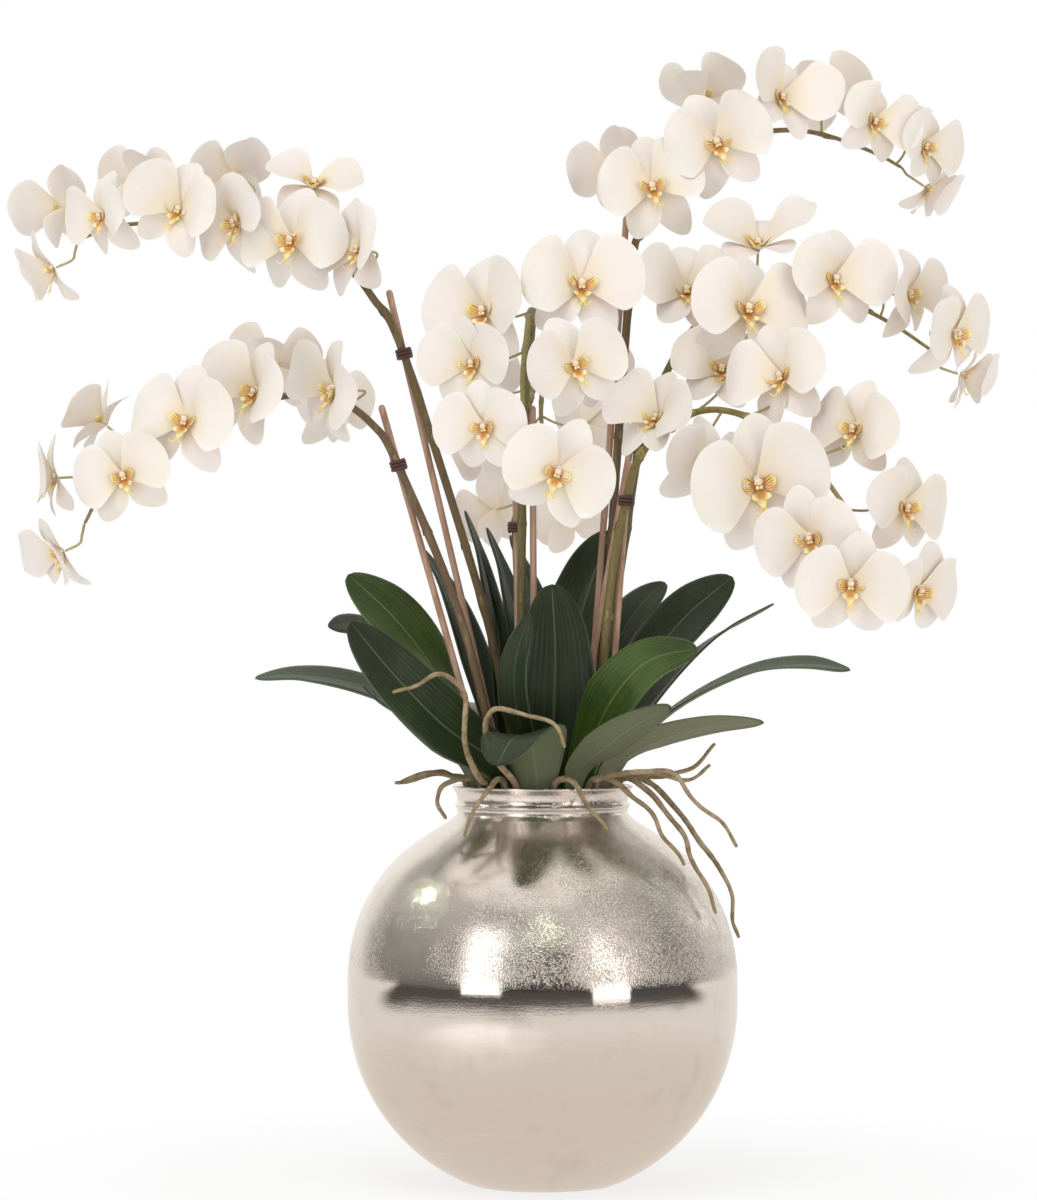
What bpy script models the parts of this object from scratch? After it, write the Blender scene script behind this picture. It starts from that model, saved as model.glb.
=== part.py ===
"""White moth orchids standing in a round metal pot.

Units are metres and +Z is up. The origin is the centre of the pot's foot, and the front is -Y.
Each spike of flowers grew as one piece, so its stem, pedicels and flowers are one solid.
"""

import math

import bmesh
import bpy
from mathutils import Matrix, Vector

# Pot: two arcs of one radius, joined by a short straight waist, drawn in under a beaded and flared lip.
globe_radius = 0.195
lower_arc_z = 0.180
upper_arc_z = 0.200
foot_radius = 0.075
neck_radius = 0.086
shoulder_draw = 0.016  # how far the shoulder is drawn in just below the neck
draw_power = 5  # a higher power keeps the draw nearer to the neck
shoulder_steps = 8
bead_radius = 0.0885
rim_radius = 0.0905
rim_z = 0.397
pot_wall = 0.003
pot_steps = 36

# Potting medium: fills the pot up to a low mound just under the rim.
mound_z = 0.393
mound_edge_z = 0.385
clearance = 0.0004

# Stakes, stems and ties.
stake_radius = 0.0035
stem_base_radius = 0.0042
stem_tip_radius = 0.0016
pedicel_radius = 0.0014
pedicel_reach = 0.020
tie_radius = 0.0021
tie_gap = 0.0006
planted_z = 0.366

# Leaves and roots.
leaf_thickness = 0.0022
leaf_fold = 0.28
root_radius = 0.0031

# Flowers.
petal_thickness = 0.0016
lip_length = 0.22

up = Vector((0, 0, 1))

# Half of a flower's outline, from the top sepal's side down to the lower sepal, in half spans.
flower_half_outline = [(0.30, 0.58), (0.60, 0.76), (1.00, 0.30), (0.72, -0.24), (0.74, -0.70), (0.46, -0.95)]
flower_top = (0.0, 0.95)
flower_gap = (0.0, -0.42)

# One spike for each stake. A flower is x, y, z, yaw from the front, pitch and span.
spikes = {
    "upper_left": {
        "stake": [(-0.030, 0.034, planted_z), (-0.155, 0.036, 0.895)],
        "tie_z": 0.830,
        "side": (0, -1, 0),
        "lower": [(-0.016, 0.030, planted_z), (-0.040, 0.028, 0.490), (-0.064, 0.026, 0.592)],
        "upper": [
            (-0.170, 0.022, 0.885), (-0.200, 0.036, 0.920), (-0.245, 0.056, 0.940), (-0.290, 0.070, 0.950),
            (-0.350, 0.085, 0.962), (-0.400, 0.100, 0.968), (-0.445, 0.115, 0.964), (-0.478, 0.125, 0.952),
        ],
        "flowers": [
            (-0.500, 0.105, 0.922, -75, -25, 0.085), (-0.495, 0.165, 0.990, -130, 10, 0.085),
            (-0.445, 0.065, 0.972, -40, -5, 0.086), (-0.420, 0.155, 1.015, 165, 25, 0.085),
            (-0.365, 0.035, 0.975, -15, 5, 0.095), (-0.305, 0.025, 0.962, -48, -5, 0.100),
            (-0.315, 0.125, 1.020, -140, 30, 0.085), (-0.232, 0.060, 1.000, 10, 55, 0.094),
            (-0.250, 0.005, 0.942, -20, 0, 0.104), (-0.180, 0.000, 0.932, -50, 10, 0.098),
        ],
    },
    "lower_left": {
        "stake": [(-0.044, -0.028, planted_z), (-0.160, -0.050, 0.775)],
        "tie_z": 0.715,
        "side": (0, -1, 0),
        "lower": [(-0.033, -0.036, planted_z), (-0.080, -0.050, 0.560)],
        "upper": [
            (-0.168, -0.064, 0.755), (-0.205, -0.068, 0.780), (-0.250, -0.088, 0.782), (-0.295, -0.108, 0.770),
            (-0.340, -0.128, 0.748), (-0.388, -0.148, 0.715), (-0.425, -0.165, 0.682), (-0.440, -0.175, 0.655),
        ],
        "flowers": [
            (-0.458, -0.195, 0.628, -60, -25, 0.075), (-0.470, -0.145, 0.700, -75, 0, 0.080),
            (-0.400, -0.205, 0.700, 0, 0, 0.088), (-0.425, -0.120, 0.752, -100, 40, 0.078),
            (-0.340, -0.190, 0.752, -20, 10, 0.102), (-0.275, -0.160, 0.780, -35, 12, 0.096),
            (-0.268, -0.060, 0.812, 170, 40, 0.088), (-0.200, -0.130, 0.785, -60, 0, 0.098),
            (-0.215, -0.020, 0.778, 150, 0, 0.085),
        ],
    },
    "centre_front": {
        "stake": [(-0.008, -0.014, planted_z), (-0.010, -0.014, 0.776)],
        "tie_z": 0.752,
        "side": (-1, 0, 0),
        "lower": [(-0.020, -0.022, planted_z), (-0.021, -0.020, 0.580)],
        "upper": [
            (-0.012, -0.045, 0.835), (-0.010, -0.085, 0.862), (-0.013, -0.140, 0.860),
            (-0.016, -0.200, 0.836), (-0.020, -0.250, 0.795), (-0.020, -0.280, 0.750), (-0.020, -0.295, 0.715),
        ],
        "flowers": [
            (-0.055, -0.110, 0.862, -30, 10, 0.112), (-0.066, -0.235, 0.806, -25, -5, 0.088),
            (-0.055, -0.325, 0.742, -15, -8, 0.084), (0.036, -0.140, 0.885, 8, 15, 0.112),
            (0.028, -0.265, 0.802, 12, 0, 0.092), (0.012, -0.350, 0.700, 0, -12, 0.098),
            (0.055, -0.055, 0.900, 60, 45, 0.082),
        ],
    },
    "centre_back": {
        "stake": [(-0.022, 0.004, planted_z), (-0.027, 0.012, 0.705)],
        "tie_z": 0.655,
        "side": (0, 1, 0),
        "lower": [(-0.018, 0.018, planted_z), (-0.023, 0.022, 0.560)],
        "upper": [
            (-0.020, 0.050, 0.735), (-0.014, 0.090, 0.780), (-0.006, 0.150, 0.805),
            (0.000, 0.210, 0.800), (0.000, 0.270, 0.778), (0.004, 0.320, 0.742), (0.005, 0.345, 0.705),
        ],
        "flowers": [
            (-0.048, 0.345, 0.680, 205, -5, 0.085), (0.030, 0.372, 0.676, 165, -12, 0.085),
            (0.045, 0.280, 0.770, 150, 10, 0.092), (-0.050, 0.265, 0.745, 215, 0, 0.085),
            (-0.052, 0.175, 0.805, 215, 20, 0.085), (0.048, 0.150, 0.815, 135, 25, 0.080),
        ],
    },
    "upper_right": {
        "stake": [(0.040, 0.030, planted_z), (0.085, 0.040, 0.970)],
        "tie_z": 0.908,
        "side": (1, 0, 0),
        "lower": [(0.049, 0.034, planted_z), (0.068, 0.036, 0.620)],
        "upper": [
            (0.102, 0.050, 0.955), (0.127, 0.060, 1.005), (0.165, 0.070, 1.040), (0.210, 0.080, 1.056),
            (0.255, 0.090, 1.062), (0.297, 0.100, 1.056), (0.343, 0.110, 1.040), (0.370, 0.115, 1.026),
        ],
        "flowers": [
            (0.165, 0.115, 1.095, 175, 45, 0.085), (0.240, 0.055, 1.090, 30, 15, 0.092),
            (0.295, 0.135, 1.105, 160, 30, 0.085), (0.175, 0.028, 1.042, 5, 0, 0.104),
            (0.110, 0.010, 0.995, 0, 8, 0.102), (0.080, 0.105, 1.025, -150, 10, 0.084),
            (0.335, 0.065, 1.068, 30, 0, 0.082), (0.388, 0.090, 1.046, 42, -5, 0.082),
            (0.396, 0.135, 1.008, 70, -35, 0.074),
        ],
    },
    "middle_right": {
        "stake": [(0.022, 0.008, planted_z), (0.100, 0.010, 0.800)],
        "tie_z": 0.740,
        "side": (1, 0, 0),
        "lower": [(0.033, 0.010, planted_z), (0.073, 0.010, 0.580)],
        "upper": [
            (0.122, 0.005, 0.805), (0.150, 0.000, 0.852), (0.188, -0.010, 0.882), (0.245, -0.020, 0.890),
            (0.300, -0.030, 0.878), (0.345, -0.040, 0.856), (0.385, -0.050, 0.828),
        ],
        "flowers": [
            (0.142, -0.055, 0.885, 0, 25, 0.094), (0.215, -0.010, 0.932, 0, 58, 0.105),
            (0.198, -0.095, 0.865, 18, 12, 0.114), (0.285, -0.080, 0.896, 18, 5, 0.096),
            (0.165, 0.045, 0.832, 95, 10, 0.095), (0.356, -0.075, 0.882, 52, 0, 0.085),
            (0.400, -0.100, 0.842, 48, -10, 0.092), (0.415, -0.025, 0.806, 85, -20, 0.074),
        ],
    },
    "lower_right": {
        "stake": [(0.060, -0.026, planted_z), (0.085, -0.050, 0.720)],
        "tie_z": 0.680,
        "side": (0, -1, 0),
        "lower": [(0.048, -0.032, planted_z), (0.065, -0.048, 0.580)],
        "upper": [
            (0.095, -0.072, 0.722), (0.122, -0.100, 0.752), (0.162, -0.140, 0.766), (0.207, -0.180, 0.752),
            (0.250, -0.215, 0.716), (0.280, -0.238, 0.676), (0.298, -0.255, 0.642), (0.308, -0.265, 0.615),
        ],
        "flowers": [
            (0.175, -0.085, 0.805, 0, 30, 0.095), (0.232, -0.160, 0.795, -40, 15, 0.100),
            (0.298, -0.195, 0.745, -32, 5, 0.092), (0.112, -0.150, 0.755, -40, 30, 0.092),
            (0.150, -0.190, 0.712, 25, -5, 0.086), (0.200, -0.255, 0.692, 5, -5, 0.125),
            (0.248, -0.300, 0.640, -18, -12, 0.094), (0.282, -0.325, 0.598, 0, -15, 0.098),
            (0.340, -0.225, 0.670, 30, -5, 0.090), (0.348, -0.275, 0.592, 32, -18, 0.090),
        ],
    },
}

# A leaf: its greatest width, the way its upper face looks at its tip, and its midrib's route.
leaves = {
    "far_left": (0.060, (0, -0.3, 1), [
        (-0.070, 0.022, 0.374), (-0.078, 0.023, 0.415), (-0.112, 0.022, 0.462),
        (-0.180, 0.018, 0.495), (-0.240, 0.004, 0.506), (-0.286, -0.010, 0.504)]),
    "back_left": (0.055, (0.3, -0.5, 0.8), [
        (-0.059, 0.044, 0.374), (-0.069, 0.053, 0.425), (-0.118, 0.084, 0.508),
        (-0.184, 0.096, 0.553), (-0.218, 0.090, 0.556)]),
    "left_bright": (0.086, (0.3, -0.8, 0.5), [
        (-0.060, -0.003, 0.374), (-0.068, -0.003, 0.420), (-0.102, 0.000, 0.500),
        (-0.145, 0.010, 0.560), (-0.195, 0.018, 0.607)]),
    "left_front": (0.078, (0.3, -0.8, 0.5), [
        (-0.036, -0.051, 0.374), (-0.043, -0.058, 0.418), (-0.096, -0.092, 0.458),
        (-0.146, -0.110, 0.510), (-0.188, -0.104, 0.560)]),
    "left_low": (0.050, (0.4, -0.2, 0.9), [
        (-0.068, -0.026, 0.374), (-0.075, -0.029, 0.412), (-0.106, -0.044, 0.436),
        (-0.142, -0.050, 0.468), (-0.178, -0.048, 0.498)]),
    "front_folded": (0.046, (-0.6, -0.7, 0.3), [
        (-0.012, -0.048, 0.374), (-0.013, -0.057, 0.430), (-0.026, -0.082, 0.475),
        (-0.027, -0.090, 0.520), (-0.014, -0.082, 0.568)]),
    "front_low": (0.080, (0, -0.1, 1), [
        (-0.006, -0.070, 0.374), (-0.007, -0.080, 0.414), (-0.014, -0.122, 0.448),
        (-0.030, -0.170, 0.448), (-0.044, -0.206, 0.425)]),
    "front_centre": (0.074, (0, -1, 0.3), [
        (0.008, -0.037, 0.374), (0.009, -0.041, 0.420), (0.011, -0.052, 0.480),
        (0.012, -0.058, 0.540), (0.009, -0.050, 0.597)]),
    "back_tall": (0.082, (0.1, -0.9, 0.5), [
        (0.014, 0.042, 0.374), (0.016, 0.048, 0.430), (0.030, 0.064, 0.530),
        (0.050, 0.080, 0.600), (0.070, 0.088, 0.652)]),
    "right_large": (0.088, (-0.3, -0.8, 0.5), [
        (0.061, 0.011, 0.374), (0.068, 0.012, 0.420), (0.097, 0.026, 0.500),
        (0.140, 0.040, 0.560), (0.192, 0.046, 0.605)]),
    "right_back": (0.068, (-0.3, -0.6, 0.7), [
        (0.040, 0.050, 0.374), (0.046, 0.061, 0.430), (0.070, 0.088, 0.520),
        (0.096, 0.106, 0.570), (0.126, 0.118, 0.600)]),
    "right_narrow": (0.044, (-0.4, 0.1, 0.9), [
        (0.060, 0.041, 0.374), (0.069, 0.047, 0.415), (0.114, 0.070, 0.480),
        (0.172, 0.082, 0.540), (0.236, 0.088, 0.578)]),
    "right_long": (0.058, (0, -0.3, 1), [
        (0.071, -0.009, 0.374), (0.079, -0.011, 0.415), (0.128, -0.026, 0.470),
        (0.200, -0.034, 0.508), (0.260, -0.036, 0.518), (0.304, -0.040, 0.513)]),
    "right_front": (0.050, (-0.3, -0.8, 0.5), [
        (0.034, -0.043, 0.374), (0.041, -0.054, 0.420), (0.066, -0.092, 0.482),
        (0.102, -0.108, 0.522), (0.150, -0.106, 0.535)]),
    "right_under": (0.046, (0.2, 0.6, 0.7), [
        (0.029, -0.066, 0.374), (0.034, -0.078, 0.414), (0.058, -0.122, 0.438),
        (0.086, -0.148, 0.460), (0.122, -0.158, 0.480)]),
    "right_olive": (0.054, (0.1, 0.4, 0.9), [
        (0.059, -0.041, 0.374), (0.066, -0.047, 0.412), (0.104, -0.068, 0.440),
        (0.160, -0.078, 0.458), (0.216, -0.080, 0.462)]),
    "upright_left": (0.044, (0.9, -0.2, 0.4), [
        (-0.031, 0.050, 0.374), (-0.036, 0.056, 0.450), (-0.044, 0.060, 0.540),
        (-0.058, 0.060, 0.610), (-0.078, 0.056, 0.672)]),
    "upright_centre": (0.040, (0.9, -0.3, 0.4), [
        (-0.016, 0.052, 0.374), (-0.017, 0.058, 0.450), (-0.022, 0.066, 0.540),
        (-0.036, 0.070, 0.600), (-0.056, 0.070, 0.655)]),
    "upright_right": (0.044, (0.9, -0.4, 0.4), [
        (0.001, 0.060, 0.374), (0.001, 0.070, 0.450), (-0.004, 0.094, 0.540),
        (-0.014, 0.105, 0.600), (-0.032, 0.108, 0.648)]),
    "back_thin": (0.046, (0.6, -0.3, 0.6), [
        (-0.042, 0.061, 0.374), (-0.047, 0.072, 0.440), (-0.068, 0.100, 0.520),
        (-0.096, 0.118, 0.590), (-0.124, 0.124, 0.636)]),
    "back_low_right": (0.072, (0, 0.2, 1), [
        (0.018, 0.072, 0.374), (0.022, 0.082, 0.416), (0.042, 0.135, 0.455),
        (0.060, 0.190, 0.462), (0.070, 0.236, 0.440)]),
    "back_low_left": (0.070, (0, 0.2, 1), [
        (-0.018, 0.072, 0.374), (-0.021, 0.083, 0.416), (-0.044, 0.140, 0.460),
        (-0.070, 0.200, 0.474), (-0.088, 0.250, 0.462)]),
}

# A root's route, from where it leaves the medium to its tip.
roots = {
    "left_arched": [
        (-0.071, -0.014, 0.376), (-0.077, -0.015, 0.401), (-0.092, -0.020, 0.406),
        (-0.118, -0.032, 0.412), (-0.140, -0.042, 0.400)],
    "left_short": [
        (-0.072, 0.007, 0.376), (-0.077, 0.007, 0.401), (-0.092, 0.004, 0.406),
        (-0.118, 0.000, 0.408), (-0.146, -0.010, 0.396)],
    "left_curled": [
        (-0.058, -0.043, 0.376), (-0.062, -0.046, 0.401), (-0.074, -0.056, 0.406),
        (-0.092, -0.072, 0.402), (-0.102, -0.084, 0.386), (-0.096, -0.086, 0.366)],
    "left_hanging": [
        (-0.036, -0.064, 0.376), (-0.038, -0.068, 0.401), (-0.046, -0.080, 0.406),
        (-0.054, -0.098, 0.394), (-0.078, -0.112, 0.350)],
    "front_over_rim": [
        (0.010, -0.072, 0.376), (0.012, -0.076, 0.401), (0.022, -0.090, 0.406),
        (0.036, -0.100, 0.396), (0.046, -0.102, 0.378), (0.062, -0.104, 0.360)],
    "front_left_aerial": [
        (-0.050, -0.053, 0.376), (-0.053, -0.057, 0.401), (-0.062, -0.086, 0.407),
        (-0.074, -0.130, 0.438), (-0.080, -0.150, 0.488), (-0.094, -0.156, 0.508),
        (-0.120, -0.156, 0.496), (-0.146, -0.154, 0.492)],
    "right_arched": [
        (0.043, -0.059, 0.376), (0.046, -0.063, 0.401), (0.055, -0.075, 0.407),
        (0.086, -0.100, 0.414), (0.124, -0.114, 0.408), (0.156, -0.122, 0.380), (0.188, -0.126, 0.345)],
    "right_wavy": [
        (0.070, -0.020, 0.376), (0.075, -0.021, 0.401), (0.090, -0.026, 0.406),
        (0.112, -0.040, 0.412), (0.140, -0.044, 0.406), (0.160, -0.046, 0.418)],
    "right_upturned": [
        (0.072, 0.011, 0.376), (0.077, 0.012, 0.401), (0.092, 0.015, 0.406),
        (0.118, 0.018, 0.404), (0.148, 0.020, 0.418), (0.176, 0.018, 0.436)],
    "right_hanging": [
        (0.050, -0.053, 0.376), (0.053, -0.057, 0.401), (0.063, -0.067, 0.406),
        (0.090, -0.086, 0.388), (0.114, -0.104, 0.356), (0.132, -0.118, 0.326)],
    "right_long_outer": [
        (0.073, 0.002, 0.376), (0.078, 0.002, 0.401), (0.092, -0.001, 0.406), (0.120, -0.014, 0.390),
        (0.152, -0.038, 0.350), (0.174, -0.052, 0.314), (0.186, -0.056, 0.280), (0.190, -0.060, 0.245)],
    "right_long_inner": [
        (0.068, -0.029, 0.376), (0.072, -0.031, 0.401), (0.085, -0.040, 0.406), (0.112, -0.057, 0.384),
        (0.144, -0.074, 0.342), (0.164, -0.084, 0.306), (0.174, -0.088, 0.274)],
    "front_aerial": [
        (-0.025, -0.069, 0.376), (-0.027, -0.074, 0.401), (-0.044, -0.100, 0.424), (-0.056, -0.132, 0.458),
        (-0.046, -0.158, 0.476), (-0.022, -0.166, 0.472), (0.006, -0.172, 0.460), (0.022, -0.180, 0.442)],
}

# Colour, roughness and metallic value of each material.
finishes = {
    "aged_silver": ((0.58, 0.54, 0.51), 0.32, 1.0),
    "bark": ((0.11, 0.07, 0.045), 0.95, 0.0),
    "stake_wood": ((0.42, 0.25, 0.18), 0.75, 0.0),
    "tie_plastic": ((0.10, 0.045, 0.035), 0.5, 0.0),
    "leaf_green": ((0.035, 0.10, 0.035), 0.35, 0.0),
    "root_tan": ((0.36, 0.30, 0.15), 0.8, 0.0),
    "petal_white": ((0.90, 0.86, 0.82), 0.5, 0.0),
}


def make_material(name):
    colour, roughness, metallic = finishes[name]
    material = bpy.data.materials.new(name)
    material.use_nodes = True
    shader = material.node_tree.nodes["Principled BSDF"]
    shader.inputs["Base Color"].default_value = (*colour, 1)
    shader.inputs["Roughness"].default_value = roughness
    shader.inputs["Metallic"].default_value = metallic
    return material


def clear_scene():
    for obj in list(bpy.data.objects):
        bpy.data.objects.remove(obj, do_unlink=True)


def add_object(name, mesh, material=None):
    obj = bpy.data.objects.new(name, mesh)
    bpy.context.scene.collection.objects.link(obj)
    if material:
        mesh.materials.clear()
        mesh.materials.append(material)
    return obj


def mesh_from(bm, name):
    bmesh.ops.recalc_face_normals(bm, faces=bm.faces[:])
    mesh = bpy.data.meshes.new(name)
    bm.to_mesh(mesh)
    bm.free()
    return mesh


def as_helper(obj):
    obj.hide_render = True
    obj.display_type = "WIRE"
    return obj


def smooth_path(points, steps):
    """Points on a Catmull-Rom curve through the given ones."""
    points = [Vector(point) for point in points]
    ends = [2 * points[0] - points[1]] + points + [2 * points[-1] - points[-2]]
    path = []
    for index in range(1, len(ends) - 2):
        before, start, end, after = ends[index - 1 : index + 3]
        for step in range(steps):
            t = step / steps
            path.append(
                0.5 * (2 * start + (end - before) * t
                       + (2 * before - 5 * start + 4 * end - after) * t ** 2
                       + (3 * start - before - 3 * end + after) * t ** 3)
            )
    return path + [points[-1]]


def make_tube(name, path, radii, rings, cyclic=False):
    """A round rod along a path, with closed ends, as a mesh."""
    curve = bpy.data.curves.new(name, "CURVE")
    curve.dimensions = "3D"
    curve.bevel_depth = 1
    curve.bevel_resolution = rings
    curve.use_fill_caps = not cyclic
    spline = curve.splines.new("POLY")
    spline.points.add(len(path) - 1)
    spline.use_cyclic_u = cyclic
    for point, place, radius in zip(spline.points, path, radii):
        point.co = (*place, 1)
        point.radius = radius
    guide = bpy.data.objects.new(name + "_guide", curve)
    mesh = bpy.data.meshes.new_from_object(guide)
    bpy.data.objects.remove(guide)
    bm = bmesh.new()
    bm.from_mesh(mesh)
    bmesh.ops.remove_doubles(bm, verts=bm.verts[:], dist=1e-6)
    return mesh_from(bm, name)


def taper(count, start, end):
    return [start + (end - start) * index / (count - 1) for index in range(count)]


def union_all(name, meshes, material):
    """One solid from overlapping meshes."""
    helpers = bpy.data.collections.new(name + "_pieces")
    bpy.context.scene.collection.children.link(helpers)
    for index, mesh in enumerate(meshes[1:]):
        piece = as_helper(bpy.data.objects.new(f"{name}_piece_{index}", mesh))
        helpers.objects.link(piece)
    obj = add_object(name, meshes[0], material)
    joined = obj.modifiers.new("join", "BOOLEAN")
    joined.operation = "UNION"
    joined.solver = "EXACT"
    joined.operand_type = "COLLECTION"
    joined.collection = helpers
    return obj


def spin_profile(profile, name):
    """A turned solid from radius and height pairs that start and end on the axis."""
    bm = bmesh.new()
    verts = [bm.verts.new((radius, 0, height)) for radius, height in profile]
    edges = [bm.edges.new(pair) for pair in zip(verts, verts[1:])]
    bmesh.ops.spin(bm, geom=verts + edges, cent=(0, 0, 0), axis=(0, 0, 1),
                   angle=math.tau, steps=pot_steps, use_merge=True)
    bmesh.ops.remove_doubles(bm, verts=bm.verts[:], dist=1e-6)
    mesh = mesh_from(bm, name)
    mesh.shade_smooth()
    mesh.set_sharp_from_angle(angle=math.radians(35))
    return mesh


def globe_profile(inset, start_z, end_radius, arc_steps=5):
    """The pot's side from start_z up to where it narrows to end_radius, set in by inset."""
    radius = globe_radius - inset
    start = math.asin((start_z - lower_arc_z) / radius)
    end = math.acos(end_radius / radius)
    angles = [start * (1 - step / arc_steps) for step in range(arc_steps + 1)]
    lower = [(radius * math.cos(angle), lower_arc_z + radius * math.sin(angle)) for angle in angles]
    upper = []
    for step in range(shoulder_steps + 1):
        share = step / shoulder_steps
        drawn = shoulder_draw * math.sin(math.pi * share**draw_power)
        angle = end * share
        upper.append((radius * math.cos(angle) - drawn, upper_arc_z + radius * math.sin(angle)))
    return lower + upper


def make_pot(material):
    outside = [(0, 0), (foot_radius, 0)] + globe_profile(0, 0.004, neck_radius)
    neck_z = outside[-1][1]
    lip = [
        (bead_radius, neck_z + 0.002), (bead_radius, neck_z + 0.005), (neck_radius, neck_z + 0.007),
        (neck_radius + 0.001, rim_z - 0.006), (rim_radius, rim_z - 0.002), (rim_radius, rim_z),
        (rim_radius - pot_wall - 0.001, rim_z), (neck_radius - pot_wall, rim_z - 0.007),
    ]
    inside = globe_profile(pot_wall, pot_wall + 0.004, neck_radius - pot_wall)
    profile = outside + lip + inside[::-1] + [(foot_radius - pot_wall, pot_wall), (0, pot_wall)]
    return add_object("pot", spin_profile(profile, "pot"), material)


def make_medium(cutters, material):
    """Bark that fills the pot, with a hole for each thing that is planted in it."""
    inset = pot_wall + clearance
    side = globe_profile(inset, pot_wall + 0.004 + clearance, neck_radius - inset)
    floor = pot_wall + clearance
    profile = [(0, floor), (foot_radius - inset, floor)] + side
    profile += [(neck_radius - inset, mound_edge_z), (0.055, 0.5 * (mound_z + mound_edge_z) + 0.0015), (0, mound_z)]
    medium = add_object("potting_medium", spin_profile(profile, "potting_medium"), material)
    holes = bpy.data.collections.new("planting_holes")
    bpy.context.scene.collection.children.link(holes)
    for index, mesh in enumerate(cutters):
        holes.objects.link(as_helper(bpy.data.objects.new(f"planting_hole_{index}", mesh)))
    cut = medium.modifiers.new("planting_holes", "BOOLEAN")
    cut.operation = "DIFFERENCE"
    cut.solver = "EXACT"
    cut.operand_type = "COLLECTION"
    cut.collection = holes
    return medium


def hole_for_rod(path, radius):
    """A wider copy of a planted rod's first stretch, starting a little deeper."""
    start, end = Vector(path[0]), Vector(path[1])
    along = (end - start).normalized()
    reach = (mound_z + 0.006 - start.z) / along.z
    ends = [start - along * clearance, start + along * reach]
    return make_tube("rod_hole", ends, [radius + clearance] * 2, 1)


def frame_along(direction, towards):
    """Right, up and direction as unit vectors, with up as near to towards as it can be."""
    direction = direction.normalized()
    right = towards.cross(direction).normalized()
    return right, direction.cross(right), direction


def facing(yaw, pitch):
    yaw, pitch = math.radians(yaw), math.radians(pitch)
    return Vector((math.sin(yaw) * math.cos(pitch), -math.cos(yaw) * math.cos(pitch), math.sin(pitch)))


def flower_matrix(place, yaw, pitch):
    right, top, ahead = frame_along(facing(yaw, pitch), up)
    turn = Matrix((right, top, ahead)).transposed().to_4x4()
    return Matrix.Translation(place) @ turn


def flower_mesh(matrix, span):
    """Three sepals and two petals as one thin plate."""
    left = [(-across, along) for across, along in flower_half_outline]
    outline = [flower_top] + flower_half_outline + [flower_gap] + left[::-1]
    bm = bmesh.new()
    ring = [bm.verts.new((across * span / 2, along * span / 2, 0)) for across, along in outline]
    front = bm.faces.new(ring[::-1])
    back = bmesh.ops.extrude_face_region(bm, geom=[front], use_keep_orig=True)
    moved = [part for part in back["geom"] if isinstance(part, bmesh.types.BMVert)]
    bmesh.ops.translate(bm, verts=moved, vec=(0, 0, -petal_thickness))
    bmesh.ops.transform(bm, matrix=matrix, verts=bm.verts[:])
    return mesh_from(bm, "flower")


def lip_mesh(matrix, span):
    """Lip and column as one tapered block that leans down and forward."""
    length = lip_length * span
    place = Matrix.Translation((0, -0.04 * span, 0.5 * length - 0.5 * petal_thickness))
    lean = Matrix.Shear("XY", 4, (0, -0.6))
    bm = bmesh.new()
    bmesh.ops.create_cone(bm, cap_ends=True, segments=4, radius1=0.09 * span, radius2=0.05 * span,
                          depth=length, matrix=matrix @ place @ lean)
    return mesh_from(bm, "lip")


def pedicel_mesh(path, place, ahead):
    """A thin stalk from the nearest part of the stem to the flower's back."""
    back = place - ahead * petal_thickness / 2
    joint = min(path, key=lambda point: (point - back + ahead * pedicel_reach).length)
    bend = back - ahead * 0.4 * (back - joint).length
    return make_tube("pedicel", [joint, bend, back], [pedicel_radius] * 3, 0)


def stem_route(spike):
    """The stem's route. At the tie it lies beside the stake."""
    low, high = (Vector(point) for point in spike["stake"])
    at_tie = low.lerp(high, (spike["tie_z"] - low.z) / (high.z - low.z))
    apart = stake_radius + stem_base_radius + 2 * tie_gap
    beside = at_tie + Vector(spike["side"]) * apart
    return spike["lower"] + [tuple(beside)] + spike["upper"], at_tie, beside


def stem_path(spike):
    return smooth_path(stem_route(spike)[0], 2)


def make_spike(name, spike, material):
    path = stem_path(spike)
    tie_index = 2 * len(spike["lower"])
    radii = [stem_base_radius] * tie_index + taper(len(path) - tie_index, stem_base_radius, stem_tip_radius)
    meshes = [make_tube(name, path, radii, 1)]
    flowering = path[tie_index + 2 :]
    for x, y, z, yaw, pitch, span in spike["flowers"]:
        place = Vector((x, y, z))
        matrix = flower_matrix(place, yaw, pitch)
        meshes.append(pedicel_mesh(flowering, place, facing(yaw, pitch)))
        meshes.append(flower_mesh(matrix, span))
        meshes.append(lip_mesh(matrix, span))
    return union_all("spike_" + name, meshes, material)


def make_stake(name, spike, material):
    mesh = make_tube("stake_" + name, spike["stake"], [stake_radius] * 2, 1)
    return add_object("stake_" + name, mesh, material)


def make_tie(name, spike, material):
    """A closed loop round the stake and the stem beside it."""
    _, at_tie, beside = stem_route(spike)
    along = Vector(spike["stake"][1]) - Vector(spike["stake"][0])
    sideways = (beside - at_tie).normalized()
    other = along.normalized().cross(sideways)
    reach = stem_base_radius + tie_gap + tie_radius
    path = []
    for centre, start in ((beside, -90), (at_tie, 90)):
        for step in range(5):
            angle = math.radians(start + 45 * step)
            path.append(centre + reach * (math.cos(angle) * sideways + math.sin(angle) * other))
    mesh = make_tube("tie_" + name, path, [tie_radius] * len(path), 0, cyclic=True)
    return add_object("tie_" + name, mesh, material)


def leaf_facing(leaf, t):
    """The way the upper face looks: from the base as at the tip, or else first towards the pot's axis."""
    _, tip_face, route = leaf
    inward = Vector((-route[0][0], -route[0][1], 0)).normalized() + 0.5 * up
    if inward.dot(Vector(tip_face)) < 0:
        return Vector(tip_face)
    turned = min(1, max(0, (t - 0.25) / 0.6))
    return inward.lerp(Vector(tip_face), turned)


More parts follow.
